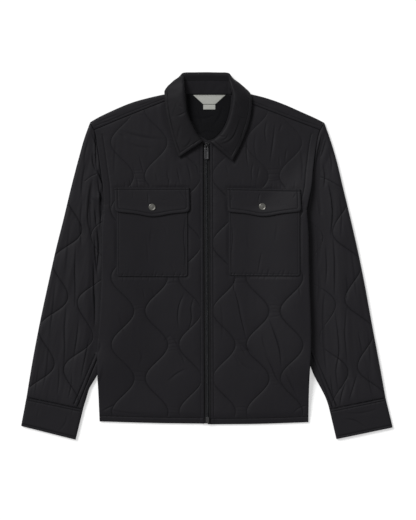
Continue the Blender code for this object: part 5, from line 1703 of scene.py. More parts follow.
@dataclass
class Yoke(Sewn):
    """The yoke: across the upper back and folded over each shoulder to its seam."""

    neck_y: float = 352.6
    neck_right: float = 55.2
    neck_left: float = 61.8
    stitch_up: float = 6.0
    flat_count: int = 9
    turn_count: int = 16
    strip_count: int = 24
    cut: Point = (0.502, 0.215)
    cut_area: float = 0.0735

    def reach(self, side: Side, out: float, y: Array | float) -> Array:
        """How far out a station lies at a height, following the armhole."""
        edge = (self.form.side_x(side, np.minimum(y, SHOULDER_POINT[1])) - self.form.gap)
        return out * (1 + (edge / SHOULDER_POINT[0] - 1) * (out / SHOULDER_POINT[0]) ** 3)

    def seam_y(self, side: Side, out: float) -> float:
        """Height of the front seam at a station."""
        seam = float(YOKE_SEAM.read(side, out))
        for _ in range(5):
            seam = float(YOKE_SEAM.read(side, self.reach(side, out, seam))) + self.form.gap / 2
        return seam

    def section(self, side: Side, out: float, neck: bool) -> Array:
        """The wall's section at a station: Y and Z round it.

        Args:
            side: Side of the station.
            out: Its distance from the centre at the shoulder point's height.
            neck: True across the back neck, where the yoke ends.

        Returns:
            The section's points.
        """
        form, wall = self.form, self.form.back_wall
        fold = self.neck_y if neck else float(SHOULDER.read(side, out))
        under = (form.yoke_back_y
                 + np.linspace(0, 1, self.flat_count) * 0.97 * (fold - form.yoke_back_y))
        floor = np.column_stack([under, np.zeros(self.flat_count)])
        back = np.column_stack([under[::-1], np.full(self.flat_count, wall)])
        if neck:
            turn = ((3.2, 0.4), (0.7, 1.6), (0.0, 2.8), (0.4, 4.2), (1.7, 4.9))
            run = np.linspace(fold - 1.9, fold - 4.1, self.strip_count)
            top = np.full(self.strip_count, wall)
            close = np.array([(fold - 4.2 - 0.1 * k, wall) for k in range(4)])
        else:
            seam = self.seam_y(side, out)
            depth = fold - seam
            turn = ((3.2, 0.8), (0.7, 2.8), (0.0, 5.2), (0.8, 7.6), (min(3.6, 0.22 * depth), 9.3))
            run = np.linspace(fold - min(4.6, 0.3 * depth), seam, self.strip_count)
            t = (fold - run) / max(depth, 1e-6)
            top = (form.seam_z + 0.9 * np.sin(np.pi * np.clip(t, 0, 1)) ** 0.6
                   - bullnose(run - seam, 2.0, 1.0))
            close = np.array([(seam, wall + form.slit), (fold - 4.5, wall + form.slit),
                              (fold - 4.5, wall + 0.3), (fold - 4.5, wall)])
            if seam > fold - 4.6:
                close[1:, 0] = min(seam, fold - 4.5) - 0.4
        rolled = smooth_line([(fold - inset, z) for inset, z in turn], self.turn_count)
        return np.vstack([floor, rolled, np.column_stack([run, top]), close, back])

    def build(self) -> Object:
        """Makes the yoke."""
        stations = []
        for side, near in ((Side.RIGHT, self.neck_right), (Side.LEFT, self.neck_left)):
            outs = np.concatenate([[SHOULDER_POINT[0]], np.arange(248, near + 3, -2.4), [near + 0.8]])
            rows = [(side.sign * out, side, False) for out in outs]
            stations += rows[::-int(side.sign)]
            if side is Side.RIGHT:
                stations += [(x, Side.RIGHT if x < 0 else Side.LEFT, True)
                             for x in np.linspace(-self.neck_right, self.neck_left, 15)]
        blocks = []
        for x, side, neck in stations:
            part = self.section(side, abs(x), neck)
            blocks.append(np.column_stack([math.copysign(1, x) * self.reach(side, abs(x), part[:, 0]), part]))
        size = len(blocks[0])
        points = np.vstack(blocks)
        ripple = Ripple(61)
        seams = []
        for side in Side:
            outs = np.linspace(244, 92, 70)
            line = [(side.sign * float(self.reach(side, out, self.seam_y(side, out) + self.stitch_up)),
                     self.seam_y(side, out) + self.stitch_up) for out in outs]
            seams.append(Seam(np.array(line), 0.55, 1.1, 0.2, 5.0, 6.0, 62))
        index = np.tile(np.arange(size), len(stations))
        first = self.flat_count + self.turn_count
        on_top = (index >= first - 4) & (index < first + self.strip_count) & (points[:, 2] > 7)
        x, y = points[on_top, 0], points[on_top, 1]
        extra = 0.25 * ripple.at(x / 24, y / 9) + sum(fold.relief(x, y) for fold in YOKE_FOLDS)
        for seam in seams:
            extra = extra + seam.relief(x, y)
        points[on_top, 2] += extra
        faces = [tuple(range(size))[::-1], tuple(range(len(points) - size, len(points)))]
        for low in range(0, len(points) - size, size):
            faces += strip(low, low + size, size)
        piece = make_object("yoke_cloth", points, faces, self.wardrobe.plain)
        for seam in seams:
            even = resample(seam.line, STITCH_STEP)
            z = np.full(len(even), self.form.seam_z + 0.62)
            self.thread.sew(np.column_stack([even, z + seam.relief(*even.T) + 0.1]))
        return declare(piece, "yoke", "plain_shell", "floor", held="folded", flat=self.cut,
                       area=self.cut_area)


# ---------------------------------------------------------------- sleeves and cuffs
CUFFS = {
    Side.RIGHT: {"seam_out": (388.5, -303.6), "end_out": (400.2, -365.8), "end_in": (282.8, -395.4),
                 "seam_in": (266.6, -329.0)},
    Side.LEFT: {"seam_out": (384.2, -304.6), "end_out": (399.8, -369.0), "end_in": (278.6, -394.2),
                "seam_in": (263.4, -329.8)},
}
SLEEVE_FOLDS = {
    Side.RIGHT: folds(
        (2.0, 3.6, 0.2, -246, 262, -240, 243, -236, 226), (2.2, 3.4, -246, 222, -245, 200, -238, 182),
        (2.0, 2.8, -230, 178, -228, 166, -226, 156),
        (3.0, 4.2, 0.2, -235, 170, -231, 138, -226, 110, -228, 84, -230, 62),
        (3.2, 4.4, -0.2, -249, 156, -253, 130, -255, 100, -255, 74, -250, 48),
        (2.2, 3.0, -241, 102, -240, 86, -238, 66), (2.0, 3.6, -242, 40, -240, 0, -236, -40),
        (1.7, 3.4, 0.3, -282, 20, -284, -30, -283, -70, -284, -108),
        (1.6, 3.4, -0.3, -302, -108, -306, -160, -305, -200, -308, -245),
        (1.8, 3.6, -243, -72, -241, -112, -242, -152), (1.6, 3.2, -276, -140, -280, -180, -287, -222),
        (1.2, 4.4, -268, 120, -272, 70, -270, 20), (1.3, 3.8, -262, 196, -268, 160, -270, 130),
        (0.9, 4.6, -326, -60, -332, -120, -338, -170), (1.5, 3.4, -254, -180, -262, -220, -270, -260),
        (0.9, 4.0, -340, -190, -344, -240, -352, -284), (1.0, 3.4, -318, -232, -318, -268, -322, -300),
        (1.1, 3.0, -290, -250, -292, -280, -298, -306), (0.8, 5.0, -296, 60, -300, 10, -304, -40),
        (0.9, 4.0, -255, 250, -262, 220, -264, 196), (0.7, 3.4, -360, -230, -366, -270, -370, -296),
        (2.8, 3.2, -241, 276, -240, 250, -239, 216, -237, 184), (3.6, 4.4, -236, 186, -229, 168, -222, 150),
        (3.6, 5.0, -226, 150, -229, 118, -229, 84), (3.0, 5.0, -247, 160, -251, 110, -249, 52),
        (3.0, 4.4, -236, 60, -233, 20, -236, -30), (2.4, 4.4, -244, -10, -243, -60, -242, -110)),
    Side.LEFT: folds(
        (2.0, 3.4, 0.2, 247, 262, 243, 244, 240, 226), (2.8, 4.0, 237, 150, 240, 118, 244, 88),
        (3.0, 4.2, 0.2, 262, 156, 267, 130, 270, 104, 270, 76, 267, 46),
        (1.9, 3.4, -0.3, 272, 36, 275, -10, 275, -50, 275, -86),
        (1.8, 3.6, 0.3, 253, -80, 250, -112, 250, -148, 252, -200, 257, -246),
        (1.8, 3.2, 276, -120, 282, -168, 284, -210, 278, -245, 282, -288),
        (1.5, 3.2, -0.2, 300, -114, 298, -140, 297, -170, 302, -228),
        (1.2, 3.0, 325, -164, 330, -186, 334, -208), (1.8, 3.4, 250, 196, 254, 172, 252, 148),
        (1.7, 3.2, 298, -272, 290, -298, 286, -322), (1.5, 3.2, 322, -256, 314, -284, 306, -310),
        (4.6, 8.0, 253, 264, 246, 234, 239, 206, 233, 180, 229, 152, 226, 124, 224, 98),
        (2.6, 4.0, 243, 246, 238, 222, 236, 200), (3.0, 5.0, 236, 196, 232, 176, 229, 150),
        (2.8, 4.6, 232, 158, 228, 132, 224, 104), (1.6, 3.2, 256, 250, 250, 228, 244, 210),
        (2.4, 4.0, 236, 60, 240, 20, 238, -20), (1.8, 3.6, 240, -30, 242, -60, 240, -96),
        (1.0, 4.6, 286, 130, 290, 90, 288, 40), (0.9, 5.0, 310, 20, 316, -30, 322, -90),
        (0.8, 4.2, 346, -150, 350, -200, 352, -240), (1.1, 3.8, 262, 230, 268, 204, 268, 180),
        (0.9, 3.4, 346, -250, 350, -276, 356, -300), (1.3, 2.8, 266, -260, 270, -290, 276, -316),
        (1.5, 3.4, 256, 20, 258, -30, 256, -60), (1.0, 3.8, 300, -40, 302, -76, 296, -104)),
}
UNDERARM_STITCH = {
    Side.RIGHT: (((-240.2, -212), (-286.0, -318.0)), ((-232.4, -212), (-278.4, -322.8))),
    Side.LEFT: (((221.4, -204), (270.2, -325.6)), ((229.2, -204), (278.0, -322.2))),
}
CUFF_FOLDS = {
    Side.RIGHT: folds(
        (0.5, 3.2, -300, -340, -306, -360, -318, -376), (0.4, 2.6, -362, -330, -366, -346)),
    Side.LEFT: folds(
        (1.1, 3.6, 296, -350, 318, -354, 342, -370), (0.6, 3.6, 300, -338, 330, -338, 366, -330),
        (0.5, 3.0, 356, -344, 368, -352)),
}


@dataclass
class Sleeve(Sewn):
    """One sleeve with its quilting, and the cuff below it."""

    side: Side
    split: float = 4.6
    seam_z: float = 9.3
    puff: float = 2.3
    tuck_zs: tuple[float, float] = (7.8, 5.4)
    roll: float = 8.0
    period: float = 147.0
    phase: float = 3.0
    wave: float = 24.3
    lines: tuple[tuple[float, float], ...] = ((-299.0, 1.0), (-228.9, -1.0))
    smooth_above: float = 150.0
    cuff_z: float = 8.6
    cuff_roll: float = 4.6
    cut: Point = (0.33, 0.64)
    cuff_cut: Point = (0.236, 0.066)

    def frame(self) -> tuple[Array, Array]:
        """Unit vectors along the sleeve, towards its cuff, and across it, towards the body."""
        slope = 0.2049 if self.side is Side.RIGHT else 0.1860
        along = np.array([self.side.sign * slope, -1.0])
        along /= np.linalg.norm(along)
        return along, np.array([self.side.sign * along[1], -along[0] * self.side.sign])

    def above_cuff(self, x: Array, y: Array) -> Array:
        """Height in plan above the cuff's seam."""
        (x0, y0), (x1, y1) = CUFFS[self.side]["seam_out"], CUFFS[self.side]["seam_in"]
        return y - y0 - (y1 - y0) * (x0 - np.abs(x)) / (x0 - x1)

    def place(self, x: Array, y: Array) -> tuple[Array, Array]:
        """Places along and across the sleeve."""
        along, across = self.frame()
        return x * along[0] + y * along[1], x * across[0] + y * across[1]

    def fold_room(self, x: Array, y: Array) -> Array:
        """Distance in from the nearer fold."""
        out = SLEEVE_OUTER.read(self.side, y) - np.abs(x)
        into = np.abs(x) - SLEEVE_INNER.read(self.side, y) + np.maximum(0.0, y - 90)
        return np.maximum(0.0, np.minimum(out, into))

    def pressed(self, x: Array, y: Array) -> Array:
        """0 where the body lies on the sleeve, 1 where it is free."""
        start, width, above, rest = ((5.0, 24.0, 101.0, 26.0) if self.side is Side.RIGHT
                                     else (15.0, 60.0, 150.0, 110.0))
        edge = self.form.side_x(self.side, np.minimum(y, UNDERARM_Y))
        free = smoothstep((np.abs(x) - edge - start) / width)
        return np.maximum(free, smoothstep((y - above) / rest))

    def outside(self, x: Array, y: Array) -> Array:
        """The smooth form of the sleeve's outside."""
        s, c = self.place(x, y)
        swing = np.cos(2 * math.pi * (s - self.phase) / self.period)
        tilt = self.wave * 2 * math.pi / self.period * np.sqrt(np.maximum(0.0, 1 - swing**2))
        fade = 60.0 * smoothstep((y - self.smooth_above + 12) / 36)
        held = [np.abs(c - across - sign * self.wave * swing) / np.hypot(1, tilt) + fade
                for across, sign in self.lines]
        held.append(np.maximum(0.0, self.above_cuff(x, y)))
        arm = np.abs(x) - self.form.side_x(self.side, np.maximum(UNDERARM_Y, y))
        held.append(np.where(y > UNDERARM_Y, np.maximum(0.0, arm), 50.0))
        free = self.pressed(x, y)
        full = self.seam_z + self.puff * quilt_rise(held) * free
        tuck = self.tuck_zs[0 if self.side is Side.RIGHT else 1]
        here = tuck + (full - tuck) * free
        return here - bullnose(self.fold_room(x, y), self.roll, here - self.split - 0.9)

    def edges(self) -> list[Array]:
        """The armhole, the underarm fold, the cuff seam and the outer fold, head to tail."""
        side, gap = self.side, self.form.gap
        ys = np.array([SHOULDER_POINT[1], *reversed(ARM_LOW_YS + ARM_HIGH_YS)])
        start = side.run(self.form.side_x(side, ys) + gap / 2, ys)
        out_point, in_point = side.place([CUFFS[side]["seam_out"], CUFFS[side]["seam_in"]]) + (0.0, gap)
        ys = np.linspace(92, -327.4, 90)
        inner = side.run(SLEEVE_INNER.read(side, ys), ys)
        inner = np.vstack([start[-1:], inner[:-1], [in_point]])
        ys = np.linspace(-300, 281, 110)
        outer = side.run(SLEEVE_OUTER.read(side, ys), ys)
        return [start, inner, np.array([in_point, out_point]), np.vstack([[out_point], outer, start[:1]])]

    def quilt_lines(self) -> list[Array]:
        """The stretches of quilting stitch that show."""
        along, across = self.frame()
        out = []
        for c0, sign in self.lines:
            s = np.arange(-260, 420, 1.5)
            c = c0 + sign * self.wave * np.cos(2 * math.pi * (s - self.phase) / self.period)
            line = s[:, None] * along + c[:, None] * across
            x, y = line[:, 0], line[:, 1]
            keep = self.fold_room(x, y) > 3.5
            keep &= self.above_cuff(x, y) > 2.0
            keep &= np.abs(x) - self.form.side_x(self.side, y) > np.where(y > UNDERARM_Y, 1.0, -6.0)
            keep &= y < self.smooth_above
            out += runs(line, keep)
        return out

    def build(self) -> list[Object]:
        """Makes the sleeve and the cuff."""
        side, name = self.side, self.side.value
        seed, way = 71 + int(side.sign), -int(side.sign)
        ripple = Ripple(seed)

        def ruffle(x: Array, y: Array) -> Array:
            """The sleeve's unevenness, less where the body lies on it."""
            s, c = self.place(x, y)
            free = 0.25 + 0.75 * self.pressed(x, y)
            edge = smoothstep(self.fold_room(x, y) / 5)
            upright = 0.42 * ripple.at(c / 10.0, s / 62.0) + 0.2 * ripple.at(c / 5.0 + 9, s / 34.0)
            return edge * free * (upright + 0.6 * ripple.at(c / 36.0, s / 80.0 + 5))

        def bottom(x: Array, y: Array) -> Array:
            """The sleeve's underside."""
            return bullnose(self.fold_room(x, y), self.roll * 0.6, self.split - 0.9)

        quilting = self.quilt_lines()
        short = {Side.RIGHT: ((-238, 176), (-249, 171), (-262, 161)),
                 Side.LEFT: ((242, 171), (262, 163), (291, 146))}[side]
        seams = [Seam(line, 0.8, 0.68, 0.28, 5.0, 6.0, seed + 20 + k) for k, line in enumerate(quilting)]
        seams.append(Seam(smooth_line(short, 20), 0.8, 0.8, 0.3, 5.0, 6.0, seed + 30))
        pairs = [resample(pair, 4.0) for pair in UNDERARM_STITCH[side]]
        seams += [Seam(pair, 1.9, 0.95, 0.2, 3.0, 5.0, seed + 31) for pair in pairs]
        middle = (np.array(UNDERARM_STITCH[side][0]) + UNDERARM_STITCH[side][1]) / 2
        edges = self.edges()
        creases = [*SLEEVE_FOLDS[side], *fringe(edges[2][::way], 14.0, 16.0, 0.8, 2.2, 0.0, seed + 5),
                   *fringe(edges[0][::way], 17.0, 14.0, 0.7, 2.2, 0.5, seed + 6)]
        surface = Surface(self.outside, seams, creases,
                          [Roll(edges[0], 2.2, 1.3), Roll(edges[2], 2.2, 1.3)], ruffle,
                          [Band(middle, 3.9, 1.4)], self.split + 0.65)

        under = Surface(bottom, [Seam(line, -0.8, 1.5, 0.0, 3.0) for line in quilting])
        piece = Tube(f"sleeve_{name}_cloth", edges, surface, bottom, self.wardrobe.sleeves[side],
                     self.split, 0.5, 4.5, 1.9, under).build()
        declare(piece, f"sleeve_{name}", "quilted_shell", "floor", flat=self.cut,
                area=2 * plan_area(chain(edges)))
        self.thread.sew_on(surface, [seam.line for seam in seams])
        return [piece, self.build_cuff()]

    def build_cuff(self) -> Object:
        """Makes the cuff."""
        side, name, sign = self.side, self.side.value, int(self.side.sign)
        seam_out, end_out, end_in, seam_in = side.place(CUFFS[side].values())
        edges = straight_runs((seam_out, seam_in, end_in, end_out))
        ripple = Ripple(90 + sign)

        def fold_room(x: Array, y: Array) -> Array:
            """Distance from the nearer fold."""
            return np.minimum(*(np.abs(follow(edge, x, y)[0]) for edge in edges[1::2]))

        def top(x: Array, y: Array) -> Array:
            """The cuff's smooth top."""
            return self.cuff_z - bullnose(fold_room(x, y), self.cuff_roll * 1.4,
                                          self.cuff_z - self.split - 0.9)

        def bottom(x: Array, y: Array) -> Array:
            """The cuff's underside."""
            return bullnose(fold_room(x, y), self.cuff_roll * 0.6, self.split - 0.9)

        def parallel(edge: Array, other: Array, amount: float) -> Array:
            """A line of stitches so far in from an edge, towards the other one."""
            (a, b), (c, d) = edge, other
            t = amount / ((np.linalg.norm(a - d) + np.linalg.norm(b - c)) / 2)
            return resample(np.array([a + (d - a) * t, b + (c - b) * t]), 4.0)[1:-1]

        lines = [parallel(edges[0], edges[2], 6.2), parallel(edges[0], edges[2], 1.6),
                 parallel(edges[2], edges[0], 5.5)]
        puckers = fringe(edges[0][::sign], 16.0, 14.0, 0.4, 2.0, 0.1, 95 + sign)
        surface = Surface(top, [Seam(line, 1.45, 0.9, 0.18, 4.0, 5.0, 97 + k)
                                for k, line in enumerate(lines)],
                          [*CUFF_FOLDS[side], *puckers],
                          [Roll(edges[0], 2.0, 1.1), Roll(edges[2], 2.2, 1.2)],
                          lambda x, y: 0.3 * smoothstep(fold_room(x, y) / 5) * ripple.at(x / 26, y / 18))
        piece = Tube(f"cuff_{name}_cloth", edges, surface, bottom, self.wardrobe.plain,
                     self.split, 1.4, 4.5, 1.9).build()
        self.thread.sew_on(surface, lines)
        return declare(piece, f"cuff_{name}", "plain_shell", "floor", flat=self.cuff_cut,
                       area=min(2 * plan_area(chain(edges)), self.cuff_cut[0] * self.cuff_cut[1]))


# ---------------------------------------------------------------- collar
@dataclass(frozen=True)
class Rise:
    """Heights of the collar at a station.

    middle is how far the leaf's middle lies out from the roll, and foot_y how far the foot
    lies behind the roll where the collar crosses the back.
    """

    foot: float
    seam: float
    roll: float
    mid: float
    edge: float
    middle: float
    foot_y: float


RISES = tuple(Rise(*row) for row in (
    (7.8, 13.4, 18.2, 17.6, 13.6, 0.40, 0.0), (7.8, 15.0, 20.6, 19.2, 13.4, 0.38, 0.0),
    (7.8, 17.0, 23.4, 21.6, 13.4, 0.36, 0.0), (7.8, 19.0, 26.0, 23.4, 13.6, 0.34, 0.0),
    (7.8, 20.5, 28.0, 25.2, 13.8, 0.34, 0.0), (7.8, 21.0, 28.4, 25.4, 13.2, 0.34, 0.0),
    (7.4, 18.5, 25.5, 15.5, 9.2, 0.66, -13.0), (6.0, 14.2, 20.0, 10.6, 2.6, 0.50, -31.0),
    (5.0, 11.6, 14.6, 7.4, 1.7, 0.0, -45.2), (5.0, 11.5, 14.3, 7.4, 1.7, 0.0, -47.0),
    (4.8, 11.2, 13.6, 7.2, 1.7, 0.0, -47.6)))
CENTRE_BACK = Station((2.0, 395.6), (2.0, 358.5))
CENTRE_RISE = Rise(4.8, 11.2, 13.6, 7.2, 1.7, 0.0, -48.0)
LEAF_FOLDS = folds(
    (1.2, 2.2, 0.2, -46, 309, -54, 304, -63, 301), (0.5, 2.4, -52, 316, -60, 322),
    (1.5, 4.2, 0.3, 70, 292, 64, 274, 56, 256, 46, 246, 30, 240), (1.1, 2.4, 60, 330, 64, 322, 72, 316),
    (1.1, 2.2, 24, 262, 30, 257, 38, 256), (0.9, 1.8, 34, 268, 30, 262, 24, 260),
    (0.8, 2.6, 46, 262, 40, 252, 30, 248), (0.8, 4.0, 76, 268, 72, 246, 62, 228),
    (0.7, 3.6, -34, 252, -40, 240, -50, 232), (0.6, 4.2, -56, 282, -62, 262, -64, 244),
    (0.6, 2.4, -22, 246, -30, 238), (0.7, 2.8, 64, 300, 74, 296, 84, 296),
    (0.5, 4.0, -64, 330, -70, 312, -74, 296))


@dataclass
class Collar(Sewn):
    """The collar: a stand round the neck, and the leaf that rolls over it."""

    leaf_wall: float = 3.0
    stand_wall: float = 2.6
    clear: float = 0.5
    stitch_in: float = 7.0
    stand_off: tuple[float, float] = (1.6, 3.8)
    leaf_size: tuple[int, int] = (380, 52)
    stand_size: tuple[int, int] = (300, 22)
    leaf_cut: Point = (0.52, 0.075)
    stand_cut: Point = (0.44, 0.032)

    def rows(self) -> tuple[list[Array], list[Array]]:
        """Rows of the stand and of the leaf, right front end to left front end."""
        right, left = ([(side.sign, row, rise) for row, rise in zip(COLLAR[side], RISES)] for side in Side)
        stand, leaf = [], []
        for sign, row, z in [*right, (-1.0, CENTRE_BACK, CENTRE_RISE), *left[::-1]]:
            roll = np.array([sign * row.roll[0], row.roll[1]])
            edge = np.array([sign * row.edge[0], row.edge[1]])
            out = (edge - roll) / np.linalg.norm(edge - roll)
            behind = z.foot_y < -34
            if z.foot_y < 0:
                foot = roll + np.array([0.0 if behind else sign * 2.0, z.foot_y])
                seam = roll + np.array([0.0, -18.0 if behind else 0.42 * z.foot_y])
                rolled = roll + np.array([0.0, -4.4 if behind else -1.0])
            else:
                foot, seam, rolled = roll + out * 0.9, roll - out * 0.6, roll + out * 0.6
            corner = row.bulge * np.array([sign * 0.71, 0.70])
            middle = (rolled + (edge - rolled) * z.middle + corner if z.middle
                      else roll + np.array([0.0, -2.0]))
            low, high = np.array((*seam, z.seam)), np.array((*rolled, z.roll))
            start = low + (high - low) / np.linalg.norm(high - low) * self.clear
            stand.append(np.array([(*foot, z.foot), (*((foot + seam) / 2 + 0.3 * out),
                                                    (z.foot + z.seam) / 2), low]))
            crest = [high] if z.foot_y else [high - (*(0.4 * out), 1.3), high + (*(2.0 * out), 0.2)]
            off = 0.0 if z.foot_y else self.stand_off[0 if sign < 0 else 1]
            leaf.append(np.array([start, *crest, (*middle, z.mid + 0.5 * off), (*edge, z.edge + off)]))
        return stand, leaf

    def grid(self, rows: list[Array], size: tuple[int, int]) -> Array:
        """A smooth grid through rows of points."""
        across = np.array([smooth_line(row, size[1]) for row in rows])
        return np.array([smooth_line(across[:, k], size[0]) for k in range(size[1])]).transpose(1, 0, 2)

    def build(self) -> list[Object]:
        """Makes the stand and the leaf."""
        stand_rows, leaf_rows = self.rows()
        leaf_grid = self.grid(leaf_rows, self.leaf_size)
        down, over = grid_places(leaf_grid)
        edge = np.minimum(over[:, -1:] - over, np.minimum(down, down[-1:] - down))
        ripple = Ripple(101)

        def leaf_relief(grid: Array, normal: Array, room: Array) -> Array:
            """The leaf's folds, puckers and stitched groove."""
            x, y = grid[..., 0].ravel(), grid[..., 1].ravel()
            folded = sum(fold.relief(x, y) for fold in LEAF_FOLDS).reshape(room.shape)
            uneven = 0.35 * ripple.at(x / 22, y / 26) + 0.15 * ripple.at(x / 8, y / 10 + 9)
            puckers = 0.2 * ripple.at(x / 5 + 3, y / 5).reshape(room.shape) * np.exp(
                -np.abs(edge - self.stitch_in) / 4)
            flat = smoothstep(np.abs(normal[..., 2]) * 2 - 0.4)
            groove = 0.9 * np.exp(-(((edge - self.stitch_in) / 0.85) ** 2))
            return flat * (folded + uneven.reshape(room.shape) + puckers) * smoothstep(room / 4) - groove

        def stand_relief(grid: Array, normal: Array, room: Array) -> Array:
            """The stand's unevenness."""
            return 0.3 * ripple.at(grid[..., 0] / 9 + 50, grid[..., 1] / 12) * smoothstep(room / 4)

        leaf = Shell("collar_leaf_cloth", leaf_grid, self.leaf_wall, 2.4, self.wardrobe.collar,
                     leaf_relief, sewn_first=True)
        stand = Shell("collar_stand_cloth", self.grid(stand_rows, self.stand_size), self.stand_wall, 1.4,
                      self.wardrobe.plain, stand_relief, sewn_last=True)
        normal = leaf.normals()
        top = (leaf_grid + normal * leaf_relief(leaf_grid, normal, leaf.room())[..., None]
               + normal * self.leaf_wall / 2)
        count, half = self.leaf_size[0], self.leaf_size[1] // 2
        column = int(np.argmin(np.abs(edge[count // 3] - self.stitch_in)[half:])) + half
        row_in = int(np.argmin(np.abs(edge[:40, half] - self.stitch_in)))
        first = slice(8, column + 1)
        self.thread.sew(*(np.vstack([table[row_in, first], table[row_in:count - row_in, column],
                                     table[-row_in - 1, first][::-1]]) for table in (top, normal)))
        pieces = []
        for shell, node, flat in ((stand, "collar_stand", self.stand_cut),
                                  (leaf, "collar_leaf", self.leaf_cut)):
            piece = shell.build()
            area = sum(face.area for face in piece.data.polygons) / 2
            pieces.append(declare(piece, node, "plain_shell", "yoke_cloth", "front_right_cloth",
                                  "front_left_cloth", held="folded", flat=flat,
                                  area=min(flat[0] * flat[1], area)))
        return pieces


# ---------------------------------------------------------------- inside the neck
@dataclass
class NeckInside(Sewn):
    """Lining of the back neck, the bare label and the size tab."""

    lining_wall: float = 1.0
    label_wall: float = 0.7
    label: tuple[Point, ...] = ((-29.8, 346.4), (39.8, 346.4), (18.2, 326.6), (-8.2, 326.6))
    tab: tuple[Point, ...] = ((-8.0, 325.6), (17.9, 325.6), (17.9, 315.2), (-8.0, 315.2))

    def build(self) -> list[Object]:
        """Makes the pieces inside the neck."""
        outline = []
        for side, last in ((Side.LEFT, 44.0), (Side.RIGHT, 42.0)):
            rows = [row.roll for row in COLLAR[side][1:6]]
            edge = [(float(self.form.zip_x(250)) + 1.0, 250.0)]
            edge += [(side.sign * (x - 5.5), y + (2 if y < 300 else 0)) for x, y in rows]
            edge = [tuple(spot) for spot in smooth_line(edge, 36)] + [(side.sign * last, 347.6)]
            outline += edge if side is Side.LEFT else edge[:0:-1]
        low = self.form.back_wall + self.form.gap
        high = low + self.lining_wall
        ripple = Ripple(121)
        creases = folds((0.5, 5.0, -20, 262, 0, 268, 24, 262), (0.5, 6.0, -34, 300, -10, 296, 20, 304),
                        (0.4, 5.0, -30, 330, -18, 312, -10, 286), (0.5, 5.0, 34, 322, 26, 300, 12, 280))
        cloth = Surface(level(high), [], creases, [], lambda x, y: 0.3 * ripple.at(x / 20, y / 24))
        lining = Panel("neck_lining_cloth", [np.array(outline + outline[:1])], cloth, level(low),
                       self.wardrobe.lining, 2.4, 12.0).build()
        pieces = [declare(lining, "neck_lining", "lining", "back_cloth", outline=np.array(outline))]
        base = high + 0.45
        for node, corners in (("neck_label", self.label), ("size_tab", self.tab)):
            edges = straight_runs(corners)
            curve = Surface(lambda x, y: base + self.label_wall + 0.5 * np.sin((x + 30) / 22.0) ** 2, [], [],
                            [Roll(edge, 0.8, 0.35) for edge in edges],
                            lambda x, y: 0.08 * ripple.at(x / 6, y / 5))
            piece = Panel(f"{node}_cloth", edges, curve, level(base), self.wardrobe.label, 1.2, 6.0,
                          (0.25, 0.6), 1.2).build()
            pieces.append(declare(piece, node, "label", "neck_lining_cloth",
                                  outline=chain([np.array(corners)])))
            if node == "neck_label":
                self.thread.sew_on(curve, [np.array([(-26.6, 344.8), (36.6, 344.8)])])
        return pieces


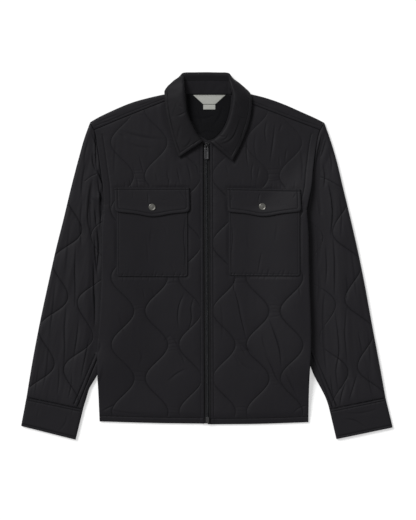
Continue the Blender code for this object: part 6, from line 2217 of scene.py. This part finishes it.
# ---------------------------------------------------------------- zip
@dataclass
class Zip:
    """The front zip: tapes, teeth, bottom box, slider and pull tab."""

    form: BodyForm
    wardrobe: Wardrobe
    tape_wall: float = 1.5
    tape_width: float = 12.7
    tape_length: float = 598.0
    tooth_pitch: float = 2.1
    tooth: tuple[float, float, float] = (2.0, 1.25, 2.1)
    chain_z: tuple[float, float] = (7.7, 10.2)
    chain_top: float = 231.6
    box_size: tuple[float, float, float] = (6.8, 13.0, 4.6)
    box_y: float = -352.3
    pivot: tuple[float, float, float] = (-1.1, 237.4, 11.6)
    slider_z: float = 7.7
    slider_height: float = 2.8
    turns: int = 20
    pin: float = 0.75

    def tapes(self) -> list[Object]:
        """Makes the two woven tapes."""
        form, pieces = self.form, []
        low = form.back_wall + form.slit + 0.2
        for side in Side:
            bottom = float(HEM.read(side, 0)) + 0.6
            xs = (0.25, form.zip_half - form.gap)
            corners = [np.array((float(form.zip_x(y)) + side.sign * x, y)) for x, y in (
                (xs[0], form.neck_y), (xs[0], bottom), (xs[1], bottom), (xs[1], form.neck_y))]
            edges = straight_runs(corners)
            surface = Surface(lambda x, y: low + self.tape_wall - 0.35 * np.cos(
                (x - form.zip_x(y)) * 2 * math.pi / 2.6) ** 8, [], [], [Roll(edges[0], 0.7, 0.5)])
            piece = Panel(f"zip_tape_{side.value}_cloth", edges, surface, level(low), self.wardrobe.tape,
                          1.5, 14.0, (0.3,), 1.8).build()
            pieces.append(declare(piece, f"zip_tape_{side.value}", "zip_tape", "back_cloth",
                                  flat=(self.tape_width * MM, self.tape_length * MM),
                                  area=plan_area(chain([np.array(corners)]))))
        return pieces

    def teeth(self) -> Object:
        """Makes the two rows of meshed teeth."""
        bottom = self.box_y + self.box_size[1] / 2 + 0.5
        length, width, height = self.tooth
        foot = self.chain_z[0]
        points, faces = [], []
        half = [(-1, 0.0), (-1, 0.5), (-0.7, 0.86), (-0.25, 1.0)]
        section = half + [(-a, b) for a, b in half[::-1]]
        rings = ((-0.35, 0.62, 0.55), (0.1, 1.0, 1.0), (0.55, 0.9, 1.0), (0.88, 1.05, 0.9), (1.0, 0.8, 0.6))
        for n, y0 in enumerate(np.arange(bottom, self.chain_top, self.tooth_pitch / 2)):
            sign = 1 if n % 2 else -1
            x0 = float(self.form.zip_x(y0))
            faces += [face[::-sign] for face in loft(len(points), len(rings), len(section))]
            points += [(x0 + sign * at * length, y0 + 0.5 * width * a * grow, foot + height * b * lift)
                       for at, grow, lift in rings for a, b in section]
        piece = make_object("zip_teeth", np.array(points), faces, self.wardrobe.teeth, 60.0)
        return declare(piece, "zip_chain", "zip_teeth")

    def plate(self, name: str, corners: Sequence[Point], low: float, high: float, soft: float,
              finish: Material, holes: Sequence[Array] = (), relief: Height | None = None,
              pitch: float = 0.7) -> Object:
        """A metal plate with softened edges above and below.

        Args:
            name: Name of the piece.
            corners: Its outline.
            low: Height of its underside.
            high: Height of its top.
            soft: Radius of its edges.
            finish: Its material.
            holes: Outlines of holes.
            relief: What is pressed into its top.
            pitch: Distance between its points.

        Returns:
            Its object.
        """
        edges = straight_runs(corners)
        rims = [*edges, *(np.vstack([hole, hole[:1]]) for hole in holes)]
        up = Surface(level(high), [], [], [Roll(edge, soft, soft * 0.8) for edge in rims], relief)
        down = Surface(level(low), [], [], [Roll(edge, soft, -soft * 0.8) for edge in rims])
        return Panel(name, edges, up, down.height, finish, pitch, pitch,
                     (0.12, 0.3, 0.55), 0.5, list(holes), under=down).build()

    def slider(self) -> Object:
        """Makes the slider body with its arch."""
        px, py, _ = self.pivot
        top = self.slider_z + self.slider_height
        half = [(4.7, 4.6), (4.6, 1.2), (3.6, -2.6), (3.3, -4.0), (2.6, -4.6)]
        crown = [(4.0, 5.6), (1.6, 6.0)]
        shape = [*((-x, y) for x, y in half), *half[::-1], *crown, (0.0, 4.9),
                 *((-x, y) for x, y in crown[::-1])]
        body = self.plate("zip_slider_body", [(px + x, py + 0.8 + y) for x, y in shape[::-1]],
                          self.slider_z, top, 0.55, self.wardrobe.zip_metal,
                          relief=lambda x, y: -0.35 * smoothstep((np.abs(x - px) - 2.2) / 0.5)
                          * smoothstep((4.1 - np.abs(x - px)) / 0.5))
        arch = smooth_line([(-3.0, 0.0), (-2.95, 1.7), (-2.0, 3.0), (0.0, 3.4), (2.0, 3.0), (2.95, 1.7),
                            (3.0, 0.0)], 26)
        across = [(-1.5, -0.3), (-1.5, 0.3), (-1.2, 0.6), (1.2, 0.6), (1.5, 0.3), (1.5, -0.3), (1.2, -0.6),
                  (-1.2, -0.6)]
        points = [(px + a, py + y - b * ny, top + z - b * nz - 0.15)
                  for (y, z), (ny, nz) in zip(arch, normals_of(arch)) for a, b in across]
        bridge = make_object("zip_slider_arch", np.array(points), loft(0, len(arch), len(across)),
                             self.wardrobe.zip_metal, 60.0)
        bridge.parent = body
        return declare(body, "zip_slider", "zip_metal")

    def pull(self) -> Object:
        """Makes the pull tab: two arms on a bar, and a tab with an eye and a sunk panel."""
        px, py, pz = self.pivot
        half, end = 4.5, py - 29.4
        top = py - 4.4
        inner, out, tip = 2.15, 3.65, py + 0.5
        shape = [(-half, top - 3.2), (-half + 0.2, top - 1.4), (-out, top), (-out, tip), (-inner, tip),
                 (-inner, top + 0.2), (-1.2, top - 0.6), (1.2, top - 0.6), (inner, top + 0.2), (inner, tip),
                 (out, tip), (out, top), (half - 0.2, top - 1.4), (half, top - 3.2), (half, end + 1.8),
                 (half - 0.5, end + 0.5), (half - 1.8, end), (-half + 1.8, end), (-half + 0.5, end + 0.5),
                 (-half, end + 1.8)]
        angle = ring(self.turns)
        eye = np.column_stack([px + 1.4 * np.cos(angle), top - 3.8 + 1.4 * np.sin(angle)])

        def sunk(x: Array, y: Array) -> Array:
            """The tab's sunk panel."""
            across = smoothstep((2.9 - np.abs(x - px)) / 0.4)
            along = smoothstep((top - 7.6 - y) / 0.4) * smoothstep((y - end - 2.2) / 0.4)
            return -0.35 * across * along

        tab = self.plate("zip_pull_tab", [(px + x, y) for x, y in shape[::-1]],
                         pz - self.pin, pz + self.pin, 0.3, self.wardrobe.pull_metal, [eye], sunk, 0.6)
        points = [(px + x, py + self.pin * math.cos(w), pz + self.pin * math.sin(w))
                  for x in (-3.5, 3.5) for w in angle]
        bar = make_object("zip_pull_bar", np.array(points), loft(0, 2, self.turns),
                          self.wardrobe.zip_metal, 40.0)
        bar.parent = tab
        return declare(tab, "zip_pull", "zip_metal")

    def box(self) -> Object:
        """Makes the box that holds the pin at the hem."""
        half, end, height = self.box_size[0] / 2, self.box_size[1] / 2, self.box_size[2]
        x = float(self.form.zip_x(self.box_y))
        corners = [(x + a, self.box_y + b) for a, b in (
            (-half, 1 - end), (1 - half, -end), (half - 1, -end), (half, 1 - end), (half, end - 1),
            (half - 1, end), (1 - half, end), (-half, end - 1))]
        piece = self.plate("zip_pin_box", corners, self.chain_z[0], self.chain_z[0] + height, 0.9,
                           self.wardrobe.pale_metal,
                           relief=lambda a, b: -0.5 * smoothstep((0.9 - np.abs(a - x)) / 0.5))
        return declare(piece, "zip_box", "zip_metal")


# ---------------------------------------------------------------- the studio
@dataclass
class Studio:
    """Floor, lights and camera."""

    ground: Material
    middle: Point = (2.15, -8.6)
    frame_height: float = 1118.0
    distance: float = 3.6
    lens_sensor: float = 36.0
    focus_z: float = 10.0
    key_strength: float = 2.88
    key_angle: float = 0.42
    key_elevation: float = 45.0
    key_azimuth: float = 137.0
    sky: float = 0.44

    def floor(self) -> Object:
        """A wide pale floor."""
        half = 4000.0
        points = np.array([(-half, -half, 0), (half, -half, 0), (half, half, 0), (-half, half, 0)])
        made = make_object("floor", points, [(0, 1, 2, 3)], self.ground)
        made.location.z = -0.0002
        return made

    def light(self) -> None:
        """Soft key light from the upper left, and even light from the sky."""
        lamp = bpy.data.lights.new("key", "SUN")
        lamp.energy, lamp.angle = self.key_strength, self.key_angle
        key = bpy.data.objects.new("key", lamp)
        up, round_ = math.radians(self.key_elevation), math.radians(self.key_azimuth)
        toward = Vector((math.cos(up) * math.cos(round_), math.cos(up) * math.sin(round_), math.sin(up)))
        key.rotation_euler = toward.to_track_quat("Z", "Y").to_euler()
        key.location = toward * 3
        bpy.context.scene.collection.objects.link(key)
        world = bpy.data.worlds.new("studio")
        world.use_nodes = True
        back = world.node_tree.nodes["Background"]
        back.inputs["Color"].default_value = (1.0, 1.0, 1.0, 1.0)
        back.inputs["Strength"].default_value = self.sky
        bpy.context.scene.world = world

    def camera(self) -> None:
        """A camera that looks straight down."""
        data = bpy.data.cameras.new("camera")
        data.sensor_fit = "VERTICAL"
        data.sensor_height = self.lens_sensor
        data.lens = self.lens_sensor * self.distance / (self.frame_height * MM)
        data.clip_end = 50.0
        made = bpy.data.objects.new("camera", data)
        made.location = (self.middle[0] * MM, self.middle[1] * MM, self.focus_z * MM + self.distance)
        bpy.context.scene.collection.objects.link(made)
        bpy.context.scene.camera = made
        bpy.context.scene.view_settings.view_transform = "Standard"
        bpy.context.scene.view_settings.look = "None"


# ---------------------------------------------------------------- making
def main() -> None:
    """Builds the jacket, piece by piece, in its studio."""
    logging.basicConfig(level=logging.INFO, format="%(message)s")
    wardrobe = Wardrobe()
    studio = Studio(wardrobe.ground)
    studio.camera()
    studio.light()
    studio.floor()
    form = BodyForm()
    pieces: list[Object] = []
    threads = [Stitching(f"stitching_{name}", wardrobe.thread) for name in ("body", "sleeves", "collar")]
    body_thread, sleeve_thread, collar_thread = threads
    pieces.append(Back(form, wardrobe, body_thread).build())
    pieces.append(Yoke(form, wardrobe, body_thread).build())
    for side in Side:
        pieces += Front(form, wardrobe, body_thread, side).build()
        pieces += Sleeve(form, wardrobe, sleeve_thread, side).build()
        log.info("built the %s front and sleeve", side.value)
    pieces += Collar(form, wardrobe, collar_thread).build()
    pieces += NeckInside(form, wardrobe, collar_thread).build()
    pieces += [thread.build() for thread in threads]
    fastener = Zip(form, wardrobe)
    pieces += fastener.tapes()
    pieces += [fastener.teeth(), fastener.slider(), fastener.box()]
    pull = fastener.pull()
    for piece in pieces:
        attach(piece, Body.JACKET.value)
    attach(pull, Body.PULL.value)
    for piece in (*pieces, pull):
        log.info("%s: %d faces", piece.name, len(piece.data.polygons))


if __name__ == "__main__":
    main()
